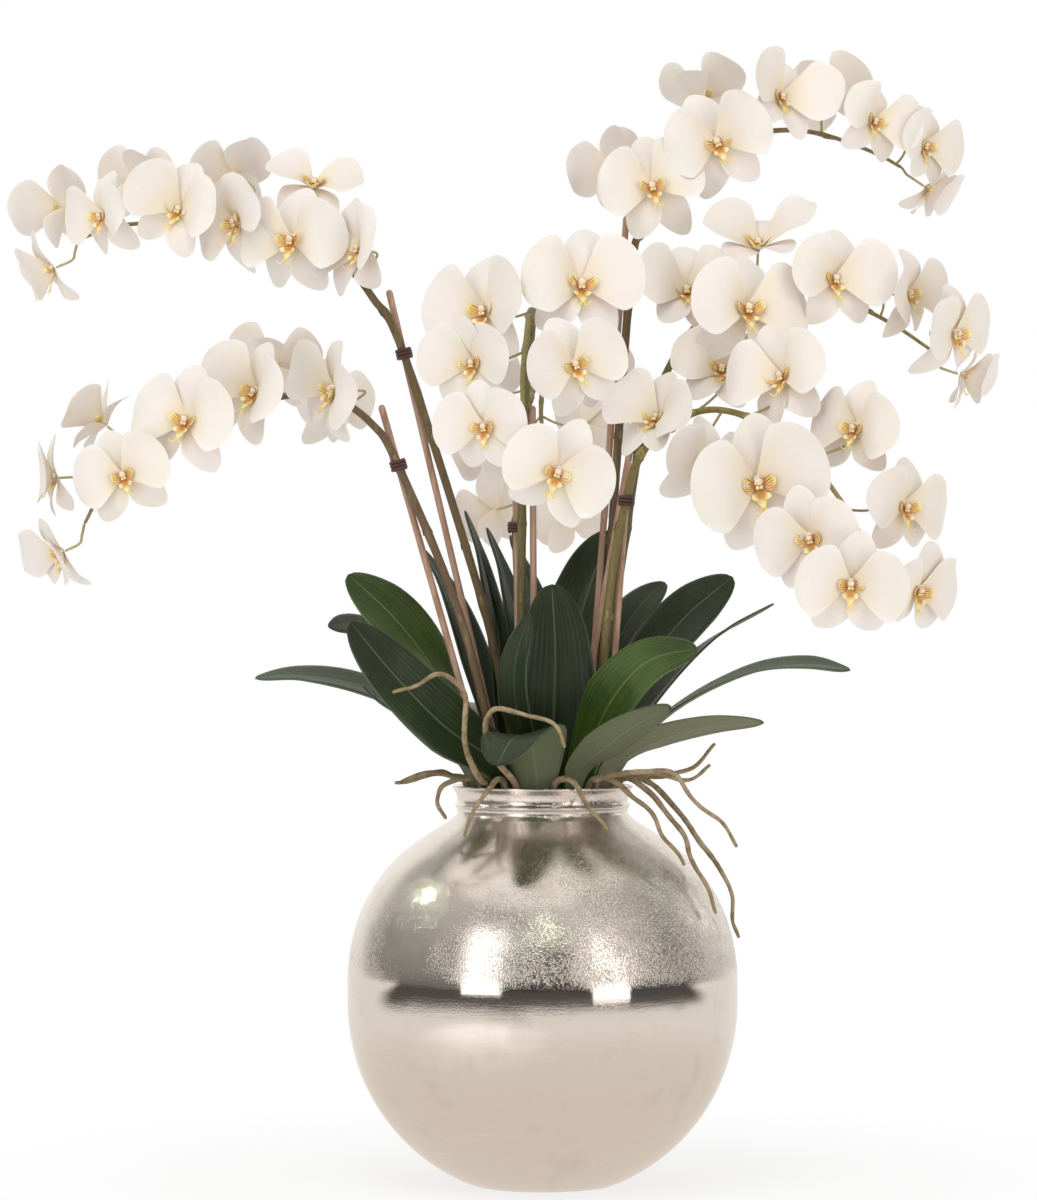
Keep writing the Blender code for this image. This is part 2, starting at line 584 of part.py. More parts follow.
def leaf_half_width(t, width):
    """Half the width at t, from a narrow base to a blunt tip."""
    opening = min(1, 0.2 + 1.3 * t)
    return 0.5 * width * opening * math.sqrt(max(0.02, 1 - t ** 3.2))


def leaf_mesh(leaf, spread=0.0):
    """A channelled strap along the midrib, grown by spread at its sides and its base."""
    width, _, route = leaf
    path = smooth_path(route, 2)
    bm = bmesh.new()
    bmesh.ops.create_grid(bm, x_segments=2, y_segments=len(path) - 1, size=1)
    last = len(path) - 1
    for vert in bm.verts:
        index = round((vert.co.y + 1) / 2 * last)
        t = index / last
        along = (path[min(index + 1, last)] - path[max(index - 1, 0)]).normalized()
        side = along.cross(leaf_facing(leaf, t)).normalized()
        face = side.cross(along)
        half = leaf_half_width(t, width) + spread
        place = path[index] - along * spread * (index == 0)
        vert.co = place + vert.co.x * half * side + abs(vert.co.x) * leaf_fold * (1 - 0.6 * t) * half * face
    return mesh_from(bm, "leaf")


def thickened(obj, thickness):
    shell = obj.modifiers.new("thickness", "SOLIDIFY")
    shell.thickness = thickness
    shell.offset = 0
    return obj


def make_leaf(name, leaf, material):
    return thickened(add_object("leaf_" + name, leaf_mesh(leaf), material), leaf_thickness)


def hole_for_leaf(leaf):
    """A thicker, wider copy of a planted leaf."""
    helper = thickened(add_object("leaf_hole", leaf_mesh(leaf, clearance)), leaf_thickness + 2 * clearance)
    solid = bpy.data.meshes.new_from_object(helper.evaluated_get(bpy.context.evaluated_depsgraph_get()))
    bpy.data.objects.remove(helper)
    return solid


def make_root(name, route, material):
    path = smooth_path(route, 2)
    radii = [root_radius] * 2 + taper(len(path) - 2, root_radius, 0.45 * root_radius)
    return add_object("root_" + name, make_tube("root_" + name, path, radii, 1), material)


def main():
    clear_scene()
    materials = {name: make_material(name) for name in finishes}
    cutters = []
    make_pot(materials["aged_silver"])
    for name, spike in spikes.items():
        make_spike(name, spike, materials["petal_white"])
        make_stake(name, spike, materials["stake_wood"])
        make_tie(name, spike, materials["tie_plastic"])
        cutters.append(hole_for_rod(spike["stake"], stake_radius))
        cutters.append(hole_for_rod(stem_path(spike), stem_base_radius))
    for name, leaf in leaves.items():
        make_leaf(name, leaf, materials["leaf_green"])
        cutters.append(hole_for_leaf(leaf))
    for name, route in roots.items():
        make_root(name, route, materials["root_tan"])
        cutters.append(hole_for_rod(smooth_path(route, 2), root_radius))
    make_medium(cutters, materials["bark"])


main()
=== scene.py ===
import math
import random

import bmesh
import bpy
from mathutils import Matrix, Vector, noise


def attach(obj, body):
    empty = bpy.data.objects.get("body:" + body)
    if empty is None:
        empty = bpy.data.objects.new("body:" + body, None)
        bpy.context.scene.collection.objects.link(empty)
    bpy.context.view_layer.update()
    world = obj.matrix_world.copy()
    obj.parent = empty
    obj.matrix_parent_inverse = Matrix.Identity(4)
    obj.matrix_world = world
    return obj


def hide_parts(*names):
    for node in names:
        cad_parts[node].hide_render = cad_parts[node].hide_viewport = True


# White moth orchids standing in a round cast metal pot. Metres, +Z up, the front is -Y.

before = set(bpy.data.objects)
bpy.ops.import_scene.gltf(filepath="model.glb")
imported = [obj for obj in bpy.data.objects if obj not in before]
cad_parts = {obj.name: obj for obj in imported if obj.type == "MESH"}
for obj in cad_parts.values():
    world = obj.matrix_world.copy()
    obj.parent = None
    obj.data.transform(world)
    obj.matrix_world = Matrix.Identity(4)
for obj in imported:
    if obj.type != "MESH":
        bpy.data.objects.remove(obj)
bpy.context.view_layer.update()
up = Vector((0, 0, 1))
noise.seed_set(5)  # its vectors would follow the clock otherwise


class Wire:  # a node's output that can stand in sums
    def __init__(self, paint, socket):
        self.paint, self.socket = paint, socket

    def __add__(self, other):
        return self.paint.maths("ADD", self, other)

    def __sub__(self, other):
        return self.paint.maths("SUBTRACT", self, other)

    def __rsub__(self, other):
        return self.paint.maths("SUBTRACT", other, self)

    def __mul__(self, other):
        return self.paint.maths("MULTIPLY", self, other)

    def __truediv__(self, other):
        return self.paint.maths("DIVIDE", self, other)

    def __abs__(self):
        return self.paint.maths("ABSOLUTE", self)

    __radd__ = __add__
    __rmul__ = __mul__


class Paint:  # a node tree, with its shader's fixed values set straight on the sockets
    def __init__(self, name, fixed=None, world=None):
        self.material = world or bpy.data.materials.new(name)
        self.material.use_nodes = True
        self.tree = self.material.node_tree
        if world is None:
            self.shader = self.tree.nodes["Principled BSDF"]
            for socket, value in (fixed or {}).items():
                self.shader.inputs[socket].default_value = value

    def node(self, kind, settings=None, values=None, output=0):
        made = self.tree.nodes.new("ShaderNode" + kind)
        for name, value in (settings or {}).items():
            setattr(made, name, value)
        for socket, value in (values or {}).items():
            if isinstance(value, Wire):
                self.tree.links.new(value.socket, made.inputs[socket])
            else:
                made.inputs[socket].default_value = value
        return Wire(self, made.outputs[output])

    def ramp(self, stops, factor):
        colour = self.node("ValToRGB", values={0: factor})
        elements = colour.socket.node.color_ramp.elements
        while len(elements) < len(stops):
            elements.new(0.5)
        for element, (place, tone) in zip(elements, stops):
            element.position = place
            element.color = (*tone, 1)
        return colour

    def maths(self, operation, *terms):
        return self.node("Math", {"operation": operation}, dict(enumerate(terms)))

    def mix(self, first, second, factor):
        ends = [(*end, 1) if isinstance(end, tuple) else end for end in (first, second)]
        return self.node("Mix", {"data_type": "RGBA"}, {0: factor, 6: ends[0], 7: ends[1]}, 2)

    def step(self, value, low, high):  # 0 below low, 1 above high, smooth between
        sizes = {"Value": value, "From Min": low, "From Max": high}
        return self.node("MapRange", {"interpolation_type": "SMOOTHSTEP"}, sizes)

    def place(self, stretch=(1, 1, 1)):
        where = self.node("TexCoord", output="Object")
        return self.node("Mapping", values={"Vector": where, "Scale": stretch})

    def along(self, reach, across):  # a place on a sheet from its two attributes
        return self.node("CombineXYZ", values={0: across, 1: reach})

    def axis(self, where, letter):
        return self.node("SeparateXYZ", values={0: where}, output=letter)

    def distance(self, where, centre):
        return self.node("VectorMath", {"operation": "DISTANCE"}, {0: where, 1: centre}, "Value")

    def attribute(self, name):
        return self.node("Attribute", {"attribute_name": name}, output="Fac")

    def noise(self, scale, detail=3.0, roughness=0.5, where=None):
        values = {"Scale": scale, "Detail": detail, "Roughness": roughness}
        return self.node("TexNoise", values={**values, "Vector": where or self.place()})

    def cells(self, scale):
        return self.node("TexVoronoi", values={"Scale": scale, "Vector": self.place()})

    def set(self, socket, value):
        self.tree.links.new(value.socket, self.shader.inputs[socket])

    def finish(self, colour, roughness, relief, depth, strength):
        self.set("Base Color", colour)
        self.set("Roughness", roughness)
        bump = {"Height": relief, "Distance": depth, "Strength": strength}
        self.set("Normal", self.node("Bump", values=bump))
        return self.material


def newBuild():
    bm = bmesh.new()
    bm.verts.layers.float.new("reach")  # 0 at a part's base, 1 at its tip
    bm.verts.layers.float.new("across")  # -1 to 1 from side to side
    return bm


def addSheet(bm, cells, shape, slot=0, thick=None, merge=1e-7):
    # shape gives the place, reach and across of a grid point with x and y from -1 to 1.
    # A sheet with a thick vector has a second face that meets the first along its rim.
    reach, across = bm.verts.layers.float["reach"], bm.verts.layers.float["across"]
    made = []
    for offset in (thick / 2, -thick / 2) if thick else (Vector(),):
        verts = bmesh.ops.create_grid(bm, x_segments=cells[0], y_segments=cells[1], size=1)["verts"]
        for face in {face for vert in verts for face in vert.link_faces}:
            face.smooth = True
            face.material_index = slot
        for vert in verts:
            x, y = vert.co.x, vert.co.y
            if thick:
                for edge in vert.link_edges:
                    if len(edge.link_faces) == 1:
                        edge.smooth = False
            place, vert[reach], vert[across] = shape(x, y)
            vert.co = place + offset * math.sqrt(max(0, (1 - x ** 4) * (1 - y ** 4)))
        made += verts
    bmesh.ops.remove_doubles(bm, verts=made, dist=merge)


def smoothPath(points, steps):  # Catmull-Rom curve through the points
    points = [Vector(point) for point in points]
    ends = [2 * points[0] - points[1]] + points + [2 * points[-1] - points[-2]]
    path = []
    for index in range(1, len(ends) - 2):
        before, start, end, after = ends[index - 1:index + 3]
        for step in range(steps):
            t = step / steps
            path.append(
                0.5 * (2 * start + (end - before) * t
                       + (2 * before - 5 * start + 4 * end - after) * t ** 2
                       + (3 * start - before - 3 * end + after) * t ** 3)
            )
    return path + [points[-1]]


def between(path, t):  # the point at share t of a path
    place = min(max(t, 0), 1) * (len(path) - 1)
    index = min(int(place), len(path) - 2)
    return path[index].lerp(path[index + 1], place - index)


def headings(path):
    last = len(path) - 1
    return [(path[min(i + 1, last)] - path[max(i - 1, 0)]).normalized() for i in range(last + 1)]


def addTube(bm, path, radii, around=10, slot=0, closed=False):
    # a rod along the path that rounds off to a point at both ends, unless it is a closed ring
    path, radii = list(path), list(radii)
    if not closed:
        for _ in range(2):
            path.reverse()
            radii.reverse()
            inward = (path[1] - path[0]).normalized() * radii[0]
            path[:1] = [path[0], path[0] + 0.3 * inward, path[0] + inward]
            radii[:1] = [0, 0.7 * radii[0], radii[0]]
    ways = headings(path)
    if closed:
        ways[0] = ways[-1] = (path[1] - path[-2]).normalized()
    side = ways[0].orthogonal().normalized()
    sides = []
    for way in ways:
        side = (side - way * side.dot(way)).normalized()
        sides.append(side)
    if closed:
        sides[-1] = sides[0]
    last = len(path) - 1

    def shape(x, y):
        index = round((y + 1) / 2 * last)
        turn = math.pi * (x + 1)
        out = math.cos(turn) * sides[index] + math.sin(turn) * ways[index].cross(sides[index])
        return path[index] + radii[index] * out, index / last, x

    addSheet(bm, (around, last), shape, slot)


def finishPiece(bm, name, materials, replaced=(), shell=None):
    if shell is None:  # a leaf's sheet keeps its facing, which says which side is the upper one
        bmesh.ops.recalc_face_normals(bm, faces=bm.faces[:])
    mesh = bpy.data.meshes.new(name)
    bm.to_mesh(mesh)
    bm.free()
    for material in materials:
        mesh.materials.append(material)
    piece = bpy.data.objects.new(name, mesh)
    bpy.context.scene.collection.objects.link(piece)
    if shell:
        skin = piece.modifiers.new("thickness", "SOLIDIFY")
        skin.thickness = shell
        skin.offset = 0
        skin.material_offset = 1  # the underside has its own finish
    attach(piece, "root")
    if replaced:
        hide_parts(*replaced)


def frameAlong(direction, towards):
    direction = direction.normalized()
    right = towards.cross(direction).normalized()
    return right, direction.cross(right), direction


def ease(t):
    t = min(max(t, 0), 1)
    return t * t * (3 - 2 * t)


studio = {
    "cameraPlace": (-0.024, -4.2, 0.582),
    "cameraLens": 126,
    "white": (1.0, 1.0, 1.0),
    "fill": 0.60,  # soft light from all round
    "gloom": 0.035,  # how bright the metal sees the room low down
    "rise": 0.58,  # how much brighter overhead
    "backWall": 1.05,  # the bright wall behind the plant
    "softboxes": [  # place, width, height, watts, tone, and whether it shows in the metal
        ((-1.66, -2.36, 1.08), 1.15, 2.00, 14, (1.0, 1.0, 1.0), True),
        ((1.62, -2.00, 0.96), 0.95, 1.90, 12.5, (1.0, 0.94, 0.90), True),
        ((1.75, 1.00, 0.85), 0.36, 0.62, 2.2, (1.0, 0.97, 0.95), True),
        ((-0.6, -1.2, 3.0), 1.6, 1.6, 24, (1.0, 1.0, 1.0), False),
    ],
    "lamps": [  # place, width, height and watts
        ((-1.64, 0.21, 1.55), 0.15, 0.15, 1.5),
        ((0.02, -1.95, 1.55), 0.12, 0.26, 1.6),
        ((1.62, 0.20, 1.58), 0.15, 0.15, 0.7),
    ],
    "lampTone": (0.86, 1.0, 0.78),
    "contact": (0.10, 0.75),  # where the floor goes from shaded to white
    "sweep": 2.12,  # how far the paper reaches in the metal's reflection
    "sweepCentre": (0.06, -0.06, 0.0),
    "spillCentre": (-0.55, -0.85, 0.0),  # light thrown on the paper by the left softbox
    "spillTone": (1.35, 1.30, 1.27),
    # the paper's glow as the metal sees it, near, far and past the sweep: painted reflection tones, with
    # the pot's painted shadow near it and painted shade past the sweep
    "nearShadowTone": (0.80, 0.735, 0.665),
    "farTone": (0.90, 0.86, 0.82),
    "pastSweepShadeTone": (0.095, 0.089, 0.083),
}


def makeCamera():
    camera = bpy.data.cameras.new("camera")
    camera.lens = studio["cameraLens"]
    camera.sensor_width = 36
    placed = bpy.data.objects.new("camera", camera)
    placed.location = studio["cameraPlace"]
    placed.rotation_euler = (math.radians(90), 0, 0)
    bpy.context.scene.collection.objects.link(placed)
    bpy.context.scene.camera = placed


def addLight(name, place, target, size, watts, tone, shape="RECTANGLE", shows=True):
    light = bpy.data.lights.new(name, "AREA")
    light.energy = watts
    light.color = tone
    light.shape = shape
    light.size, light.size_y = size
    placed = bpy.data.objects.new(name, light)
    placed.location = place
    placed.rotation_euler = (Vector(place) - Vector(target)).to_track_quat("Z", "Y").to_euler()
    placed.visible_glossy = shows
    bpy.context.scene.collection.objects.link(placed)


def makeWorld():
    world = bpy.data.worlds.new("studio")
    bpy.context.scene.world = world
    paint = Paint("studio", world=world)
    ground = paint.tree.nodes["Background"]
    way = paint.node("TexCoord", output="Generated")
    sideways, depth, height = (paint.axis(way, letter) for letter in "XYZ")
    raised = paint.maths("MAXIMUM", height, 0)
    rightShade = 1 - 0.35 * paint.step(sideways, 0.4, 0.9)
    leftGlow = 0.18 * paint.step(0 - sideways, 0.35, 0.85)
    ceiling = 0.45 * paint.step(height, 0.74, 0.80)
    level = studio["gloom"] + studio["rise"] * raised * rightShade + leftGlow + ceiling
    behind = paint.step(depth, 0.62, 0.74)
    level = level + (studio["backWall"] - level) * behind
    studioTone = paint.node("CombineColor", values={0: level, 1: level * 0.97, 2: level * 0.92})
    soft = tuple(studio["fill"] * part for part in studio["white"])
    seen = paint.mix(soft, studioTone, paint.node("LightPath", output="Is Glossy Ray"))
    shown = paint.mix(seen, studio["white"], paint.node("LightPath", output="Is Camera Ray"))
    paint.tree.links.new(shown.socket, ground.inputs["Color"])


def makeFloor():
    bm = bmesh.new()
    bmesh.ops.create_circle(bm, cap_ends=True, segments=96, radius=14)
    mesh = bpy.data.meshes.new("floor")
    bm.to_mesh(mesh)
    bm.free()
    floor = bpy.data.objects.new("floor", mesh)
    bpy.context.scene.collection.objects.link(floor)
    paint = Paint("floorPaper", {"Roughness": 0.9, "Specular IOR Level": 0.1})
    where = paint.node("TexCoord", output="Object")
    distance = paint.distance(where, (0, 0, 0))
    past = paint.distance(where, studio["sweepCentre"]) - studio["sweep"]
    sweep = paint.step(past, -0.02, 0.02)
    far = paint.step(distance, *studio["contact"])
    paint.set("Base Color", paint.mix((0.95, 0.945, 0.94), (0.97, 0.97, 0.97), far))
    mirrored = paint.node("LightPath", output="Is Glossy Ray")
    # for glossy rays the paper glows with a painted reflection: the pot's painted shadow near it, a
    # painted pool of the left softbox's light, and near-black painted shade past the sweep in front
    reflected = paint.mix(studio["nearShadowTone"], studio["farTone"], paint.step(distance, 0.15, 1.1))
    spill = 1 - paint.step(paint.distance(where, studio["spillCentre"]), 0.1, 0.75)
    reflected = paint.mix(reflected, studio["spillTone"], 0.8 * spill)
    front = 1 - paint.step(paint.axis(where, "Y"), 0.2, 0.9)
    reflected = paint.mix(reflected, studio["pastSweepShadeTone"], sweep * front)
    glow = paint.node("Emission", values={"Color": paint.mix(studio["white"], reflected, mirrored)})
    share = 0.74 + 0.26 * far  # how much of the paper's white is its own glow
    both = paint.node("MixShader", values={0: share + (1 - share) * mirrored, 2: glow})
    paint.tree.links.new(paint.shader.outputs[0], both.socket.node.inputs[1])
    paint.tree.links.new(both.socket, paint.tree.nodes["Material Output"].inputs["Surface"])
    mesh.materials.append(paint.material)


bpy.context.scene.view_settings.view_transform = "Standard"
makeCamera()
makeWorld()
makeFloor()
for index, (place, width, height, watts, tone, shows) in enumerate(studio["softboxes"]):
    target = (0, 0, 0.6 if not shows else place[2])
    addLight(f"softbox_{index}", place, target, (width, height), watts, tone, shows=shows)
for index, (place, width, height, watts) in enumerate(studio["lamps"]):
    size, tone = (width, height), studio["lampTone"]
    addLight(f"lamp_{index}", place, (0, 0, 0.3), size, watts, tone, "ELLIPSE")
print("studio ready")


pot = {
    "radius": 0.195,
    "lowerArc": 0.180,
    "upperArc": 0.200,
    "foot": 0.075,
    "footHeight": 0.004,  # where the foot's flat turns up into the globe
    "neck": 0.086,
    "draw": 0.016,  # how far the shoulder is drawn in just below the neck
    "drawPower": 5,
    "ridge": [(0.0010, 0.0008), (0.0016, 0.0020), (0.0010, 0.0032), (-0.0002, 0.0042)],
    "collar": [(-0.0008, 0.0065), (-0.0006, 0.0105), (0.0008, 0.0150)],  # out from the neck and up
    "rim": 0.0905,
    "rimHeight": 0.397,
    "lipRounding": 0.0007,
    "wall": 0.003,
    "band": (0.206, 0.226),  # heights over which the pitted band starts
    "bandFade": (0.28, 0.32),
    "turns": 160,
    "arcSteps": 30,
    "lumps": 0.00012,  # how far the cast wall wanders
    "silver": (0.76, 0.70, 0.645),
    "brushed": (0.93, 0.90, 0.86),
    "tarnish": (0.46, 0.40, 0.345),
    "pitSize": 620,
}


def globeSide(inset, startHeight, endRadius):
    radius = pot["radius"] - inset
    steps = pot["arcSteps"]
    start = math.asin((startHeight - pot["lowerArc"]) / radius)
    end = math.acos(endRadius / radius)
    below = [start * (1 - step / steps) for step in range(steps + 1)]
    above = [end * step / steps for step in range(steps + 1)]
    lower = [(radius * math.cos(a), pot["lowerArc"] + radius * math.sin(a)) for a in below]
    drawn = [pot["draw"] * math.sin(math.pi * (a / end) ** pot["drawPower"]) for a in above]
    return lower + [(radius * math.cos(a) - inward, pot["upperArc"] + radius * math.sin(a))
                    for a, inward in zip(above, drawn)]


def rounded(corners, radius):  # each corner is cut into three points
    path = [corners[0]]
    for before, corner, after in zip(corners, corners[1:], corners[2:]):
        corner, ends = Vector(corner), [Vector(before), Vector(after)]
        near = [corner.lerp(end, min(0.45, radius / (end - corner).length)) for end in ends]
        middle = corner.lerp(near[0].lerp(near[1], 0.5), 0.5)
        path += [tuple(near[0]), tuple(middle), tuple(near[1])]
    return path + [corners[-1]]


def castMetal():
    paint = Paint("castSilver", {"Metallic": 1.0})
    where = paint.place()
    height, side = paint.axis(where, "Z"), paint.axis(where, "X")
    band = paint.step(height, *pot["band"]) * (1 - 0.70 * paint.step(height, *pot["bandFade"]))
    rightward = paint.step(side, -0.10, 0.12)
    clouds = paint.noise(9, 4, 0.6)
    smudge = paint.step(paint.noise(22, 5, 0.65), 0.50, 0.74)
    pits = 1 - paint.step(paint.cells(pot["pitSize"]), 0.15, 0.50)
    patchy = paint.step(clouds + 0.10 * rightward, 0.42, 0.58)
    coarse = paint.noise(640, 2, 0.6)
    streak = paint.noise(26, 5, 0.7, paint.place((0.5, 0.5, 9)))
    brushed = paint.step(streak, 0.55, 0.72) * (1 - 0.7 * rightward)
    grain = band * (0.35 + 0.65 * patchy) * (0.40 + 0.60 * rightward)
    colour = paint.mix(pot["silver"], pot["tarnish"], 0.22 * smudge + 0.55 * pits * grain)
    colour = paint.mix(colour, pot["brushed"], 0.22 * brushed)
    dull = 0.10 * paint.step(height, 0.27, 0.34)
    roughness = 0.045 + 0.04 * smudge + 0.02 * clouds + 0.05 * grain + dull
    relief = grain * (coarse - 0.8 * pits) + 0.035 * streak * (1 - 0.5 * rightward) + 0.03 * coarse
    return paint.finish(colour, roughness, relief, 0.0009, 0.7)


def makePot():
    wall, neck, rim, rimHeight = pot["wall"], pot["neck"], pot["rim"], pot["rimHeight"]
    outside = [(0, 0), (pot["foot"] - 0.001, 0)] + globeSide(0, pot["footHeight"], neck)
    neckHeight = outside[-1][1]
    ridge = [(neck + out, neckHeight + rise) for out, rise in pot["ridge"]]
    collar = [(neck + out, neckHeight + rise) for out, rise in pot["collar"]]
    collar.append((neck + 0.0026, rimHeight - 0.0040))
    lip = rounded([
        (rim - 0.0008, rimHeight - 0.0030), (rim, rimHeight - 0.0020), (rim, rimHeight),
        (rim - wall - 0.0004, rimHeight), (neck - wall + 0.0012, rimHeight - 0.0060),
        (neck - wall, rimHeight - 0.0100),
    ], pot["lipRounding"])
    inside = globeSide(wall, wall + pot["footHeight"], neck - wall)
    floor = [(pot["foot"] - wall, wall), (0, wall)]
    profile = outside + ridge + collar + lip + inside[::-1] + floor
    bm = bmesh.new()
    verts = [bm.verts.new((radius, 0, height)) for radius, height in profile]
    edges = [bm.edges.new(pair) for pair in zip(verts, verts[1:])]
    bmesh.ops.spin(bm, geom=verts + edges, cent=(0, 0, 0), axis=(0, 0, 1),
                   angle=math.tau, steps=pot["turns"], use_merge=True)
    bmesh.ops.remove_doubles(bm, verts=bm.verts[:], dist=1e-6)
    for vert in bm.verts:
        out = Vector((vert.co.x, vert.co.y, 0))
        if out.length > 0.02 and 0.003 < vert.co.z < rimHeight - 0.002:
            wander = noise.noise(vert.co * 24) + 0.5 * noise.noise(vert.co * 60)
            vert.co += out.normalized() * pot["lumps"] * (wander - 0.9)
    for face in bm.faces:
        face.smooth = True
    finishPiece(bm, "cast_pot", [castMetal()], ["pot"])


makePot()
print("pot ready")


bark = {
    "chips": 210,
    "reach": 0.080,
    "low": 0.3865,
    "high": 0.3935,
    "chipSize": (0.004, 0.0085),
    "chipTilt": (-0.6, 0.6),
    "tones": [(0.0, (0.030, 0.018, 0.011)), (0.5, (0.095, 0.055, 0.032)), (1.0, (0.22, 0.135, 0.075))],
}


def barkMaterial():
    paint = Paint("barkChips", {"Specular IOR Level": 0.25})
    lump = paint.noise(70, 5, 0.7)
    fibre = paint.noise(300, 4, 0.6, paint.place((1, 1, 0.25)))
    colour = paint.ramp(bark["tones"], 0.65 * lump + 0.4 * fibre)
    return paint.finish(colour, 0.80 + 0.18 * fibre, lump + 0.5 * fibre, 0.0015, 0.8)


def makeBark(material):
    rng = random.Random(11)
    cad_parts["potting_medium"].data.materials.clear()
    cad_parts["potting_medium"].data.materials.append(material)
    bm = bmesh.new()
    for _ in range(bark["chips"]):
        distance = bark["reach"] * math.sqrt(rng.random())
        turn = rng.uniform(0, math.tau)
        height = bark["high"] + (bark["low"] - bark["high"]) * distance / bark["reach"]
        size = rng.uniform(*bark["chipSize"])
        breadth, depth = size * rng.uniform(0.5, 0.9), size * rng.uniform(0.25, 0.45)
        shape = Matrix.Diagonal((size, breadth, depth, 1))
        tilts = [Matrix.Rotation(rng.uniform(*bark["chipTilt"]), 4, axis) for axis in "XY"]
        spot = Matrix.Translation((distance * math.cos(turn), distance * math.sin(turn), height))
        place = spot @ Matrix.Rotation(rng.uniform(0, math.tau), 4, "Z") @ tilts[0] @ tilts[1] @ shape
        chip = bmesh.ops.create_icosphere(bm, subdivisions=1, radius=0.5)["verts"]
        for vert in chip:
            vert.co *= rng.uniform(0.75, 1.2)
            vert.co = place @ vert.co
    finishPiece(bm, "bark_chips", [material])


makeBark(barkMaterial())
print("bark ready")


planted = 0.366
rods = {  # radii, and the gap left inside a tie
    "stake": 0.0035,
    "stemBase": 0.0042,
    "stemTip": 0.0016,
    "tie": 0.0017,
    "clasp": 0.0023,
    "gap": 0.0006,
}
tieLook = {"ringSpacing": 0.0034, "claspReach": 0.006, "ringStep": 15, "around": 10}

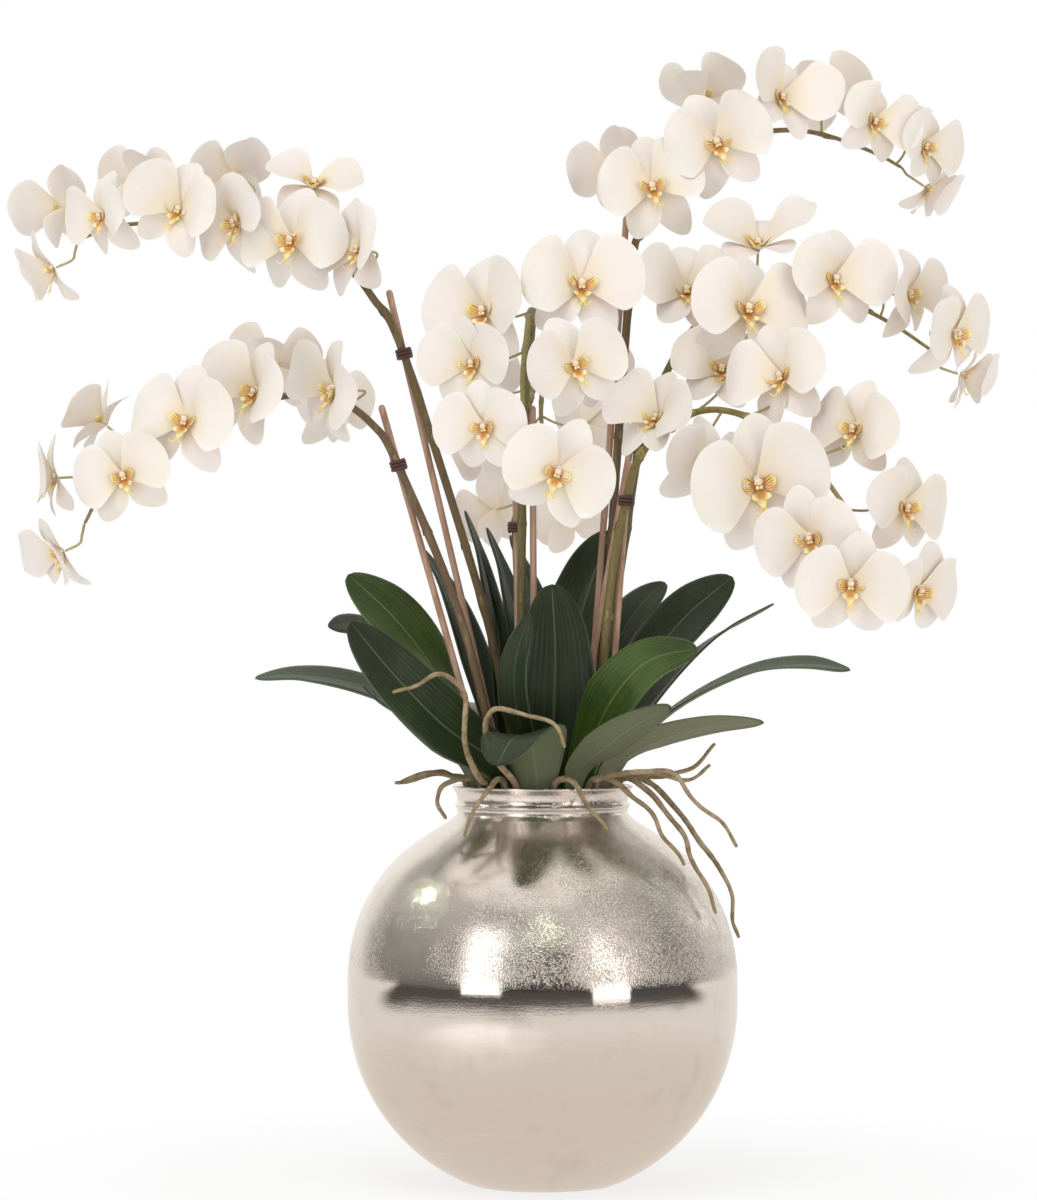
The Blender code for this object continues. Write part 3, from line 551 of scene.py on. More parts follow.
# Each spike: its stake, its tie's height, which side of the stake the stem is on there, its
# tone, the stem's route below and above the tie, and its flowers as x, y, z, yaw from the
# front, pitch and span.
spikes = {
    "upper_left": {
        "stake": [(-0.030, 0.034, planted), (-0.155, 0.036, 0.895)],
        "tie": 0.830, "side": (0, -1, 0), "tone": "brownOlive",
        "lower": [(-0.016, 0.030, planted), (-0.040, 0.028, 0.490), (-0.064, 0.026, 0.592)],
        "upper": [
            (-0.170, 0.022, 0.885), (-0.200, 0.036, 0.920), (-0.245, 0.056, 0.940),
            (-0.290, 0.070, 0.950), (-0.350, 0.085, 0.962), (-0.400, 0.100, 0.968),
            (-0.445, 0.115, 0.964), (-0.478, 0.125, 0.952),
        ],
        "flowers": [
            (-0.500, 0.105, 0.922, -75, -25, 0.085), (-0.495, 0.165, 0.990, -130, 10, 0.085),
            (-0.445, 0.065, 0.972, -40, -5, 0.086), (-0.420, 0.155, 1.015, 165, 25, 0.085),
            (-0.365, 0.035, 0.975, -15, 5, 0.095), (-0.305, 0.025, 0.962, -48, -5, 0.100),
            (-0.315, 0.125, 1.020, -140, 30, 0.085), (-0.232, 0.060, 1.000, 10, 55, 0.094),
            (-0.250, 0.005, 0.942, -20, 0, 0.104), (-0.180, 0.000, 0.932, -50, 10, 0.098),
        ],
    },
    "lower_left": {
        "stake": [(-0.044, -0.028, planted), (-0.160, -0.050, 0.775)],
        "tie": 0.715, "side": (0, -1, 0), "tone": "brown",
        "lower": [(-0.033, -0.036, planted), (-0.080, -0.050, 0.560)],
        "upper": [
            (-0.168, -0.064, 0.755), (-0.205, -0.068, 0.780), (-0.250, -0.088, 0.782),
            (-0.295, -0.108, 0.770), (-0.340, -0.128, 0.748), (-0.388, -0.148, 0.715),
            (-0.425, -0.165, 0.682), (-0.440, -0.175, 0.655),
        ],
        "flowers": [
            (-0.458, -0.195, 0.628, -60, -25, 0.075), (-0.470, -0.145, 0.700, -75, 0, 0.080),
            (-0.400, -0.205, 0.700, 0, 0, 0.088), (-0.425, -0.120, 0.752, -100, 40, 0.078),
            (-0.340, -0.190, 0.752, -20, 10, 0.102), (-0.275, -0.160, 0.780, -35, 12, 0.096),
            (-0.268, -0.060, 0.812, 170, 40, 0.088), (-0.200, -0.130, 0.785, -60, 0, 0.098),
            (-0.215, -0.020, 0.778, 150, 0, 0.085),
        ],
    },
    "centre_front": {
        "stake": [(-0.008, -0.014, planted), (-0.010, -0.014, 0.776)],
        "tie": 0.752, "side": (-1, 0, 0), "tone": "olive",
        "lower": [(-0.020, -0.022, planted), (-0.021, -0.020, 0.580)],
        "upper": [
            (-0.012, -0.045, 0.835), (-0.010, -0.085, 0.862), (-0.013, -0.140, 0.860),
            (-0.016, -0.200, 0.836), (-0.020, -0.250, 0.795), (-0.020, -0.280, 0.750),
            (-0.020, -0.295, 0.715),
        ],
        "flowers": [
            (-0.055, -0.110, 0.862, -30, 10, 0.112), (-0.066, -0.235, 0.806, -25, -5, 0.088),
            (-0.055, -0.325, 0.742, -15, -8, 0.084), (0.036, -0.140, 0.885, 8, 15, 0.112),
            (0.028, -0.265, 0.802, 12, 0, 0.092), (0.012, -0.350, 0.700, 0, -12, 0.098),
            (0.055, -0.055, 0.900, 60, 45, 0.082),
        ],
    },
    "centre_back": {
        "stake": [(-0.022, 0.004, planted), (-0.027, 0.012, 0.705)],
        "tie": 0.655, "side": (0, 1, 0), "tone": "olive",
        "lower": [(-0.018, 0.018, planted), (-0.023, 0.022, 0.560)],
        "upper": [
            (-0.020, 0.050, 0.735), (-0.014, 0.090, 0.780), (-0.006, 0.150, 0.805),
            (0.000, 0.210, 0.800), (0.000, 0.270, 0.778), (0.004, 0.320, 0.742), (0.005, 0.345, 0.705),
        ],
        "flowers": [
            (-0.048, 0.345, 0.680, 205, -5, 0.085), (0.030, 0.372, 0.676, 165, -12, 0.085),
            (0.045, 0.280, 0.770, 150, 10, 0.092), (-0.050, 0.265, 0.745, 215, 0, 0.085),
            (-0.052, 0.175, 0.805, 215, 20, 0.085), (0.048, 0.150, 0.815, 135, 25, 0.080),
        ],
    },
    "upper_right": {
        "stake": [(0.040, 0.030, planted), (0.085, 0.040, 0.970)],
        "tie": 0.908, "side": (1, 0, 0), "tone": "brown",
        "lower": [(0.049, 0.034, planted), (0.068, 0.036, 0.620)],
        "upper": [
            (0.102, 0.050, 0.955), (0.127, 0.060, 1.005), (0.165, 0.070, 1.040),
            (0.210, 0.080, 1.056), (0.255, 0.090, 1.062), (0.297, 0.100, 1.056),
            (0.343, 0.110, 1.040), (0.370, 0.115, 1.026),
        ],
        "flowers": [
            (0.165, 0.115, 1.095, 175, 45, 0.085), (0.240, 0.055, 1.090, 30, 15, 0.092),
            (0.295, 0.135, 1.105, 160, 30, 0.085), (0.175, 0.028, 1.042, 5, 0, 0.104),
            (0.110, 0.010, 0.995, 0, 8, 0.102), (0.080, 0.105, 1.025, -150, 10, 0.084),
            (0.335, 0.065, 1.068, 30, 0, 0.082), (0.388, 0.090, 1.046, 42, -5, 0.082),
            (0.396, 0.135, 1.008, 70, -35, 0.074),
        ],
    },
    "middle_right": {
        "stake": [(0.022, 0.008, planted), (0.100, 0.010, 0.800)],
        "tie": 0.740, "side": (1, 0, 0), "tone": "olive",
        "lower": [(0.033, 0.010, planted), (0.073, 0.010, 0.580)],
        "upper": [
            (0.122, 0.005, 0.805), (0.150, 0.000, 0.852), (0.188, -0.010, 0.882), (0.245, -0.020, 0.890),
            (0.300, -0.030, 0.878), (0.345, -0.040, 0.856), (0.385, -0.050, 0.828),
        ],
        "flowers": [
            (0.142, -0.055, 0.885, 0, 25, 0.094), (0.215, -0.010, 0.932, 0, 58, 0.105),
            (0.198, -0.095, 0.865, 18, 12, 0.114), (0.285, -0.080, 0.896, 18, 5, 0.096),
            (0.165, 0.045, 0.832, 95, 10, 0.095), (0.356, -0.075, 0.882, 52, 0, 0.085),
            (0.400, -0.100, 0.842, 48, -10, 0.092), (0.415, -0.025, 0.806, 85, -20, 0.074),
        ],
    },
    "lower_right": {
        "stake": [(0.060, -0.026, planted), (0.085, -0.050, 0.720)],
        "tie": 0.680, "side": (0, -1, 0), "tone": "ochre",
        "lower": [(0.048, -0.032, planted), (0.065, -0.048, 0.580)],
        "upper": [
            (0.095, -0.072, 0.722), (0.122, -0.100, 0.752), (0.162, -0.140, 0.766),
            (0.207, -0.180, 0.752), (0.250, -0.215, 0.716), (0.280, -0.238, 0.676),
            (0.298, -0.255, 0.642), (0.308, -0.265, 0.615),
        ],
        "flowers": [
            (0.175, -0.085, 0.805, 0, 30, 0.095), (0.232, -0.160, 0.795, -40, 15, 0.100),
            (0.298, -0.195, 0.745, -32, 5, 0.092), (0.112, -0.150, 0.755, -40, 30, 0.092),
            (0.150, -0.190, 0.712, 25, -5, 0.086), (0.200, -0.255, 0.692, 5, -5, 0.125),
            (0.248, -0.300, 0.640, -18, -12, 0.094), (0.282, -0.325, 0.598, 0, -15, 0.098),
            (0.340, -0.225, 0.670, 30, -5, 0.090), (0.348, -0.275, 0.592, 32, -18, 0.090),
        ],
    },
}

stemTones = {  # base, middle and flowering end
    "olive": [(0.0, (0.10, 0.085, 0.025)), (0.55, (0.17, 0.145, 0.04)), (1.0, (0.30, 0.26, 0.09))],
    "ochre": [(0.0, (0.15, 0.115, 0.035)), (0.55, (0.26, 0.20, 0.06)), (1.0, (0.36, 0.29, 0.10))],
    "brown": [(0.0, (0.13, 0.080, 0.040)), (0.55, (0.16, 0.095, 0.045)), (1.0, (0.27, 0.20, 0.085))],
    "brownOlive": [(0.0, (0.14, 0.090, 0.042)), (0.55, (0.15, 0.110, 0.040)), (1.0, (0.28, 0.24, 0.09))],
}


def stemMaterial(tone):
    paint = Paint("stem_" + tone, {"Specular IOR Level": 0.45})
    reach = paint.attribute("reach")
    fleck = paint.noise(420, 3, 0.6, paint.place((1, 1, 0.3)))
    streak = paint.noise(120, 2, 0.5, paint.place((1, 1, 0.12)))
    colour = paint.ramp(stemTones[tone], reach)
    colour = paint.mix(colour, (0.055, 0.035, 0.018), 0.55 * paint.step(fleck, 0.52, 0.70))
    colour = paint.mix(colour, (0.34, 0.27, 0.12), 0.35 * paint.step(streak, 0.52, 0.75))
    return paint.finish(colour, 0.42 + 0.25 * fleck, streak + 0.5 * fleck, 0.0004, 0.6)


def woodMaterial():
    paint = Paint("stakeWood", {"Specular IOR Level": 0.3})
    grain = paint.noise(900, 4, 0.65, paint.place((1, 1, 0.035)))
    broad = paint.noise(160, 3, 0.5, paint.place((1, 1, 0.06)))
    fleck = paint.step(paint.noise(240, 2, 0.5, paint.place((1, 1, 0.25))), 0.60, 0.72)
    colour = paint.mix((0.36, 0.215, 0.145), (0.52, 0.345, 0.25), paint.step(broad, 0.3, 0.7))
    marks = 0.55 * paint.step(grain, 0.48, 0.72) + 0.35 * fleck
    colour = paint.mix(colour, (0.20, 0.115, 0.075), marks)
    return paint.finish(colour, 0.62 + 0.25 * grain, grain + 0.6 * broad, 0.0005, 0.7)


def tieMaterial():
    paint = Paint("tiePlastic", {"Specular IOR Level": 0.5})
    mottle = paint.noise(500, 3)
    colour = paint.mix((0.045, 0.022, 0.016), (0.115, 0.055, 0.038), mottle)
    return paint.finish(colour, 0.38 + 0.25 * mottle, mottle, 0.0003, 0.5)


def tiePoints(spike):  # the stake's centre and the stem's, at the tie
    low, high = (Vector(point) for point in spike["stake"])
    atTie = low.lerp(high, (spike["tie"] - low.z) / (high.z - low.z))
    apart = rods["stake"] + rods["stemBase"] + 2 * rods["gap"]
    return atTie, atTie + Vector(spike["side"]) * apart


def stemPath(spike, steps):
    return smoothPath(spike["lower"] + [tuple(tiePoints(spike)[1])] + spike["upper"], steps)


stemLook = {
    "steps": 10,
    "around": 14,
    "firstJoint": 0.055,
    "jointSpacing": 0.078,
    "jointWander": 0.01,
    "jointReach": 0.004,
    "jointSwell": 0.24,
    "bract": 0.015,
    "bractGirth": 1.25,  # its half-width over the stem's radius
    "lowestBract": 0.45,
}


def addBract(bm, place, way, out, length, width):
    # a small pointed scale that hugs the stem
    side = way.cross(out).normalized()

    def shape(x, y):
        t = (y + 1) / 2
        half = width * math.sqrt(max(0, 1 - t ** 1.6))
        turn = x * 1.15
        lift = 0.0004 + 0.0016 * t * t
        spot = place + way * (t * length) + side * (half * math.sin(turn))
        return spot + out * (half * math.cos(turn) * 0.6 + lift), 0.75 + 0.2 * t, x

    addSheet(bm, (6, 6), shape, thick=out * 0.0006)


def makeStem(name, spike, materials):
    steps = stemLook["steps"]
    path = stemPath(spike, steps)
    tieIndex = steps * len(spike["lower"])
    lengths = [0.0]
    for start, end in zip(path, path[1:]):
        lengths.append(lengths[-1] + (end - start).length)
    rng = random.Random(name)
    spacing, wander = stemLook["jointSpacing"], stemLook["jointWander"]
    joints = [stemLook["firstJoint"] + spacing * step + rng.uniform(-wander, wander)
              for step in range(int(lengths[-1] / spacing))]
    radii = []
    for index, length in enumerate(lengths):
        taper = max(0, index - tieIndex) / (len(path) - 1 - tieIndex)
        radius = rods["stemBase"] + (rods["stemTip"] - rods["stemBase"]) * taper
        swell = sum(math.exp(-((length - joint) / stemLook["jointReach"]) ** 2) for joint in joints)
        radii.append(radius * (1 + stemLook["jointSwell"] * swell))
    bm = newBuild()
    addTube(bm, path, radii, stemLook["around"])
    ways = headings(path)
    for number, joint in enumerate(joints):
        index = min(range(len(path)), key=lambda i: abs(lengths[i] - joint))
        if path[index].z < stemLook["lowestBract"]:
            continue
        out = Matrix.Rotation(number * 2.4, 3, ways[index]) @ ways[index].orthogonal().normalized()
        girth = radii[index] * stemLook["bractGirth"]
        addBract(bm, path[index], ways[index], out, stemLook["bract"], girth)
    finishPiece(bm, "stem_" + name, [materials[spike["tone"]]], ["spike_" + name])


def makeStake(name, spike, material):
    low, high = (Vector(point) for point in spike["stake"])
    path = [low.lerp(high, step / 24) for step in range(25)]
    bm = newBuild()
    radii = [rods["stake"] * (0.97 + 0.05 * noise.noise(point * 35)) for point in path]
    addTube(bm, path, radii, 18)
    finishPiece(bm, "support_" + name, [material], ["stake_" + name])


def makeTie(name, spike, material):
    # three rings round the stake and the stem, with a small clasp between them
    stake, stem = tiePoints(spike)
    along = (Vector(spike["stake"][1]) - Vector(spike["stake"][0])).normalized()
    sideways = (stem - stake).normalized()
    other = along.cross(sideways)
    reach = rods["stemBase"] + rods["gap"] + rods["tie"]
    bm = newBuild()
    for lift in (-tieLook["ringSpacing"], 0, tieLook["ringSpacing"]):
        path = []
        for centre, start in ((stem, -90), (stake, 90)):
            for turned in range(0, 181, tieLook["ringStep"]):
                angle = math.radians(start + turned)
                ring = reach * (math.cos(angle) * sideways + math.sin(angle) * other)
                path.append(centre + ring + along * lift)
        path.append(path[0])
        addTube(bm, path, [rods["tie"]] * len(path), tieLook["around"], closed=True)
    clasp, half = stem.lerp(stake, 0.5) + other * reach, along * tieLook["claspReach"]
    addTube(bm, [clasp - half, clasp + half], [rods["clasp"]] * 2, tieLook["around"])
    finishPiece(bm, "ring_" + name, [material], ["tie_" + name])


stemMaterials = {tone: stemMaterial(tone) for tone in stemTones}
stakeWood, tiePlastic = woodMaterial(), tieMaterial()
for name, spike in spikes.items():
    makeStem(name, spike, stemMaterials)
    makeStake(name, spike, stakeWood)
    makeTie(name, spike, tiePlastic)
print("stems, stakes and ties ready")


# Lengths are in spans. Lift is a tepal's height at its base, tilt its lean forward, bulge how it
# swells towards the front, fold how its sides come forward and curl how its tip turns back.
dorsal = {
    "length": 0.50, "width": 0.375, "claw": 0.55, "lift": -0.012, "tilt": 0.02, "bulge": 0.035,
    "fold": 0.03, "curl": 0.07, "ruffle": 0.010, "point": 0.06, "cells": 11,
}
lateral = {
    **dorsal, "width": 0.345, "claw": 0.60, "lift": -0.014, "bulge": 0.030, "fold": 0.035,
    "curl": 0.08, "point": 0.08,
}
wing = {
    "length": 0.52, "width": 0.68, "claw": 0.42, "lift": 0.006, "tilt": 0.17, "bulge": 0.070,
    "fold": 0.045, "curl": 0.03, "ruffle": 0.022, "point": 0.0, "cells": 13,
}
tepals = [  # the sepals, then the petals, by the angle each one points at
    {"angle": angle, **form}
    for angle, form in ((90, dorsal), (234, lateral), (306, lateral), (167, wing), (13, wing))
]
bloom = {
    "petalThickness": 0.0009,
    "lobeThickness": 0.0007,
    "turnJitter": 22,
    "angleJitter": 9,
    "curlJitter": 0.10,
    "tiltJitter": 0.12,
    "openness": (-0.10, 0.16),  # how far one flower's petals all lean forward
    "spread": 1.04,
    "lipSize": 1.12,
    "pedicelRadius": 0.0013,
    "pedicelReach": 0.020,
}


def tepalSheet(bm, matrix, span, form, lean, rng):
    angle = math.radians(form["angle"] + rng.uniform(-1, 1) * bloom["angleJitter"])
    way = Vector((math.cos(angle), math.sin(angle), 0))
    side = Vector((math.sin(angle), -math.cos(angle), 0))
    curl = form["curl"] + bloom["curlJitter"] * rng.uniform(-1, 1)
    tilt = form["tilt"] + lean + bloom["tiltJitter"] * rng.uniform(-1, 1)
    phase, waves = rng.uniform(0, math.tau), rng.choice((2, 3, 3, 4))
    twist = 0.10 * rng.uniform(-1, 1)

    def shape(x, y):
        across = x * math.sqrt(1 - y * y / 2)
        upright = y * math.sqrt(1 - x * x / 2)
        t = (1 + upright) / 2
        narrow = form["claw"] + (1 - form["claw"]) * ease(t / 0.55)
        width = 0.5 * form["width"] * narrow * (1 - form["point"] * 3 * max(0, t - 0.6))
        rim = (across * across + upright * upright) ** 1.5
        ahead = form["length"] * (t + form["point"] * (1 - abs(across)) * max(0, t - 0.75) * 1.2)
        depth = form["lift"] + tilt * t + form["bulge"] * math.sin(math.pi * min(1, t * 1.05))
        depth += form["fold"] * across * across - curl * t ** 3 + twist * across * t * width
        depth += form["ruffle"] * rim * math.sin(waves * math.atan2(upright, across) + phase)
        spot = way * ahead + side * (across * width) + Vector((0, 0, depth))
        return matrix @ (spot * span), t, across

    forward = matrix.to_3x3() @ Vector((0, 0, 1))
    cells = (form["cells"], form["cells"])
    addSheet(bm, cells, shape, thick=forward * bloom["petalThickness"])


def addLip(bm, matrix, span, rng):
    def lobe(base, tip, face, width, hollow, slot, point=0.0, cells=8):
        # a small spoon from base to tip, hollow towards face
        base, tip, face = Vector(base), Vector(tip), Vector(face).normalized()
        way = tip - base
        side = way.cross(face).normalized()
        face = side.cross(way).normalized()

        def shape(x, y):
            across = x * math.sqrt(1 - y * y / 2)
            t = (1 + y * math.sqrt(1 - x * x / 2)) / 2
            half = 0.5 * width * (0.45 + 0.55 * ease(t / 0.5)) * (1 - point * t * t)
            bend = hollow * (across * across + (2 * t - 1) ** 2 - 1)
            spot = base + way * t + side * (across * half) + face * bend
            return matrix @ (spot * span), t, across

        thick = matrix.to_3x3() @ face * bloom["lobeThickness"]
        addSheet(bm, (cells, cells), shape, slot, thick)

    def tube(points, radii, slot, around=8, steps=4):
        path = [matrix @ (point * span) for point in smoothPath(points, steps)]
        last = len(path) - 1
        sizes = [span * (radii[0] + (radii[1] - radii[0]) * i / last) for i in range(last + 1)]
        addTube(bm, path, sizes, around, slot)

    # the column, the side lobes, the middle lobe, then its shoulders, tendrils and callus
    tube([(0, 0.020, -0.01), (0, 0.024, 0.045), (0, 0.004, 0.100)], (0.026, 0.036), 2, 10)
    for way in (-1, 1):
        lift = 0.015 * rng.uniform(-1, 1)
        lobe((0.012 * way, -0.030, 0.045), (0.112 * way, 0.020 + lift, 0.135),
             (-0.45 * way, 0.25, 1.0), 0.105, 0.022, 1)
    lobe((0, -0.020, 0.030), (0, -0.165, 0.120), (0, 0.7, 0.8), 0.105, 0.020, 3, 0.55)
    for way in (-1, 1):
        lobe((0.008 * way, -0.085, 0.085), (0.066 * way, -0.092, 0.118),
             (0, 0.5, 0.9), 0.060, 0.012, 3, 0.3, 5)
        curl = 0.02 * rng.uniform(-1, 1)
        tube([(0.008 * way, -0.160, 0.116), (0.020 * way, -0.196, 0.135),
              (0.042 * way, -0.205 + curl, 0.160), (0.060 * way, -0.180 + curl, 0.170)],
             (0.0075, 0.004), 4, 6, 3)
        tube([(0.014 * way, -0.030, 0.060), (0.013 * way, -0.026, 0.092)], (0.013, 0.015), 4, 8)


def flowerMatrix(place, yaw, pitch, roll):
    yaw, pitch = math.radians(yaw), math.radians(pitch)
    level = math.cos(pitch)
    ahead = Vector((math.sin(yaw) * level, -math.cos(yaw) * level, math.sin(pitch)))
    turn = Matrix(frameAlong(ahead, up)).transposed().to_4x4()
    return Matrix.Translation(place) @ turn @ Matrix.Rotation(math.radians(roll), 4, "Z"), ahead


def makeFlower(name, spikeName, values, flowering, materials):
    x, y, z, yaw, pitch, span = values
    rng = random.Random(name)
    place = Vector((x, y, z))
    roll = rng.uniform(-1, 1) * bloom["turnJitter"]
    matrix, ahead = flowerMatrix(place, yaw, pitch, roll)
    bm = newBuild()
    lean = rng.uniform(*bloom["openness"])
    for form in tepals:
        tepalSheet(bm, matrix, span * bloom["spread"], form, lean, rng)
    addLip(bm, matrix, span * bloom["lipSize"], rng)
    back = place - ahead * 0.002
    joint = min(flowering, key=lambda point: (point - back + ahead * bloom["pedicelReach"]).length)
    reach = (back - joint).length
    bend = back - ahead * 0.45 * reach
    sag = joint.lerp(bend, 0.5) - up * 0.05 * reach
    path = smoothPath([joint, sag, bend, back], 5)
    addTube(bm, path, [bloom["pedicelRadius"]] * len(path), 8, 5)
    finishPiece(bm, name, materials, ["spike_" + spikeName])


petalTones = {
    "warm": (0.775, 0.715, 0.635),
    "cool": (0.80, 0.735, 0.705),
    # the centre's cream: partly the petals' own warm tone, partly painted shade
    "centreCreamAndShade": (0.81, 0.67, 0.44),
    "vein": (0.70, 0.61, 0.50),
    "rim": (0.84, 0.785, 0.765),
}


def petalMaterial():
    sheen = {"Sheen Weight": 0.15, "Sheen Roughness": 0.5}
    flesh = {"Specular IOR Level": 0.25, "Subsurface Weight": 0.12, "Subsurface Scale": 0.004}
    paint = Paint("petalWhite", {**flesh, **sheen})
    reach, across = paint.attribute("reach"), paint.attribute("across")
    veins = paint.noise(1, 3, 0.55, paint.along(reach * 2.5, across * 16 / (reach + 0.35)))
    clouds = paint.noise(38, 3, 0.5)
    broad = paint.step(paint.noise(11, 2, 0.5), 0.38, 0.62)
    centre = 1 - paint.step(reach, 0.02, 0.60)
    rim = paint.step(abs(across), 0.72, 1.0)
    lines = paint.step(veins, 0.45, 0.75) * (1 - 0.5 * rim)
    colour = paint.mix(petalTones["warm"], petalTones["cool"], 0.6 * broad + 0.4 * clouds)
    # towards the centre the petals take their own cream tone, deepened there as painted shade
    colour = paint.mix(colour, petalTones["centreCreamAndShade"], 0.66 * centre)
    colour = paint.mix(colour, petalTones["vein"], 0.13 * lines)
    colour = paint.mix(colour, petalTones["rim"], 0.5 * rim)
    return paint.finish(colour, 0.48 + 0.2 * clouds, veins, 0.0004, 0.35)


lipFlesh = {"Specular IOR Level": 0.35, "Subsurface Weight": 0.05, "Subsurface Scale": 0.002}
lipTones = {  # each from the lobe's base to its tip
    "sideLobe": [(0.0, (0.62, 0.24, 0.12)), (0.35, (0.88, 0.56, 0.20)),
                 (0.70, (0.92, 0.76, 0.26)), (1.0, (0.92, 0.84, 0.52))],
    "column": [(0.0, (0.93, 0.86, 0.66)), (0.45, (0.93, 0.86, 0.76)),
               (0.72, (0.93, 0.74, 0.62)), (1.0, (0.93, 0.62, 0.42))],
    "midLobe": [(0.0, (0.50, 0.12, 0.05)), (0.35, (0.85, 0.50, 0.12)),
                (0.62, (0.94, 0.84, 0.52)), (1.0, (0.93, 0.80, 0.30))],
}


def sideLobeMaterial():
    paint = Paint("lipSideLobe", lipFlesh)
    reach, across = paint.attribute("reach"), paint.attribute("across")
    wobble = paint.noise(3, 2, 0.5, paint.along(reach * 2, across))
    stripes = paint.maths("SINE", across * 17 + 3 * wobble)
    colour = paint.ramp(lipTones["sideLobe"], reach)
    marks = paint.step(stripes, -0.1, 0.6) * (1 - paint.step(reach, 0.62, 0.92))
    colour = paint.mix(colour, (0.33, 0.045, 0.035), 0.75 * marks)
    return paint.finish(colour, 0.42 + 0.2 * wobble, stripes, 0.0003, 0.4)


def columnMaterial():
    paint = Paint("column", {**lipFlesh, "Subsurface Weight": 0.1})
    reach = paint.attribute("reach")
    blush = paint.noise(260, 3)
    colour = paint.ramp(lipTones["column"], reach)
    colour = paint.mix(colour, (0.95, 0.85, 0.70), 0.5 * blush)
    return paint.finish(colour, 0.38 + 0.2 * blush, blush, 0.0003, 0.3)


def midLobeMaterial():
    paint = Paint("lipMiddle", lipFlesh)
    reach, across = paint.attribute("reach"), paint.attribute("across")
    wobble = paint.noise(4, 2, 0.5, paint.along(reach * 2, across))
    colour = paint.ramp(lipTones["midLobe"], reach)
    flecks = paint.step(wobble, 0.50, 0.66) * (1 - paint.step(reach, 0.35, 0.6))
    colour = paint.mix(colour, (0.40, 0.06, 0.035), 0.7 * flecks)
    return paint.finish(colour, 0.42 + 0.2 * wobble, wobble, 0.0004, 0.4)


def tendrilMaterial():
    paint = Paint("lipTendril", {"Specular IOR Level": 0.4})
    reach = paint.attribute("reach")
    fleck = paint.noise(500, 2)
    colour = paint.mix((0.90, 0.66, 0.10), (0.88, 0.80, 0.42), reach)
    colour = paint.mix(colour, (0.62, 0.22, 0.06), 0.6 * paint.step(fleck, 0.58, 0.72))
    return paint.finish(colour, 0.35 + 0.25 * fleck, fleck, 0.0002, 0.4)


def pedicelMaterial():
    paint = Paint("pedicel", {"Specular IOR Level": 0.4})
    reach = paint.attribute("reach")
    mottle = paint.noise(320, 3, 0.6)
    colour = paint.mix((0.27, 0.22, 0.075), (0.52, 0.46, 0.24), reach)
    colour = paint.mix(colour, (0.20, 0.14, 0.05), 0.4 * paint.step(mottle, 0.5, 0.7))
    return paint.finish(colour, 0.45 + 0.2 * mottle, mottle, 0.0003, 0.5)


# by the material slots that addLip and makeFlower use
flowerMaterials = [
    petalMaterial(), sideLobeMaterial(), columnMaterial(), midLobeMaterial(), tendrilMaterial(),
    pedicelMaterial(),
]
for spikeName, spike in spikes.items():
    path = stemPath(spike, 4)
    flowering = path[4 * (len(spike["lower"]) + 1):]
    for number, values in enumerate(spike["flowers"], 1):
        makeFlower(f"flower_{spikeName}_{number}", spikeName, values, flowering, flowerMaterials)
print("flowers ready")


leafLook = {
    "thickness": 0.0016,
    "fold": 0.28,
    "groove": 0.0009,
    "grooveWidth": 0.07,
    "wave": 0.0016,
    "rimDrop": 0.0012,
    "stalkShare": 0.2,  # its width at the base, and how fast it opens above that
    "opening": 1.6,
    "cells": (12, 34),
}

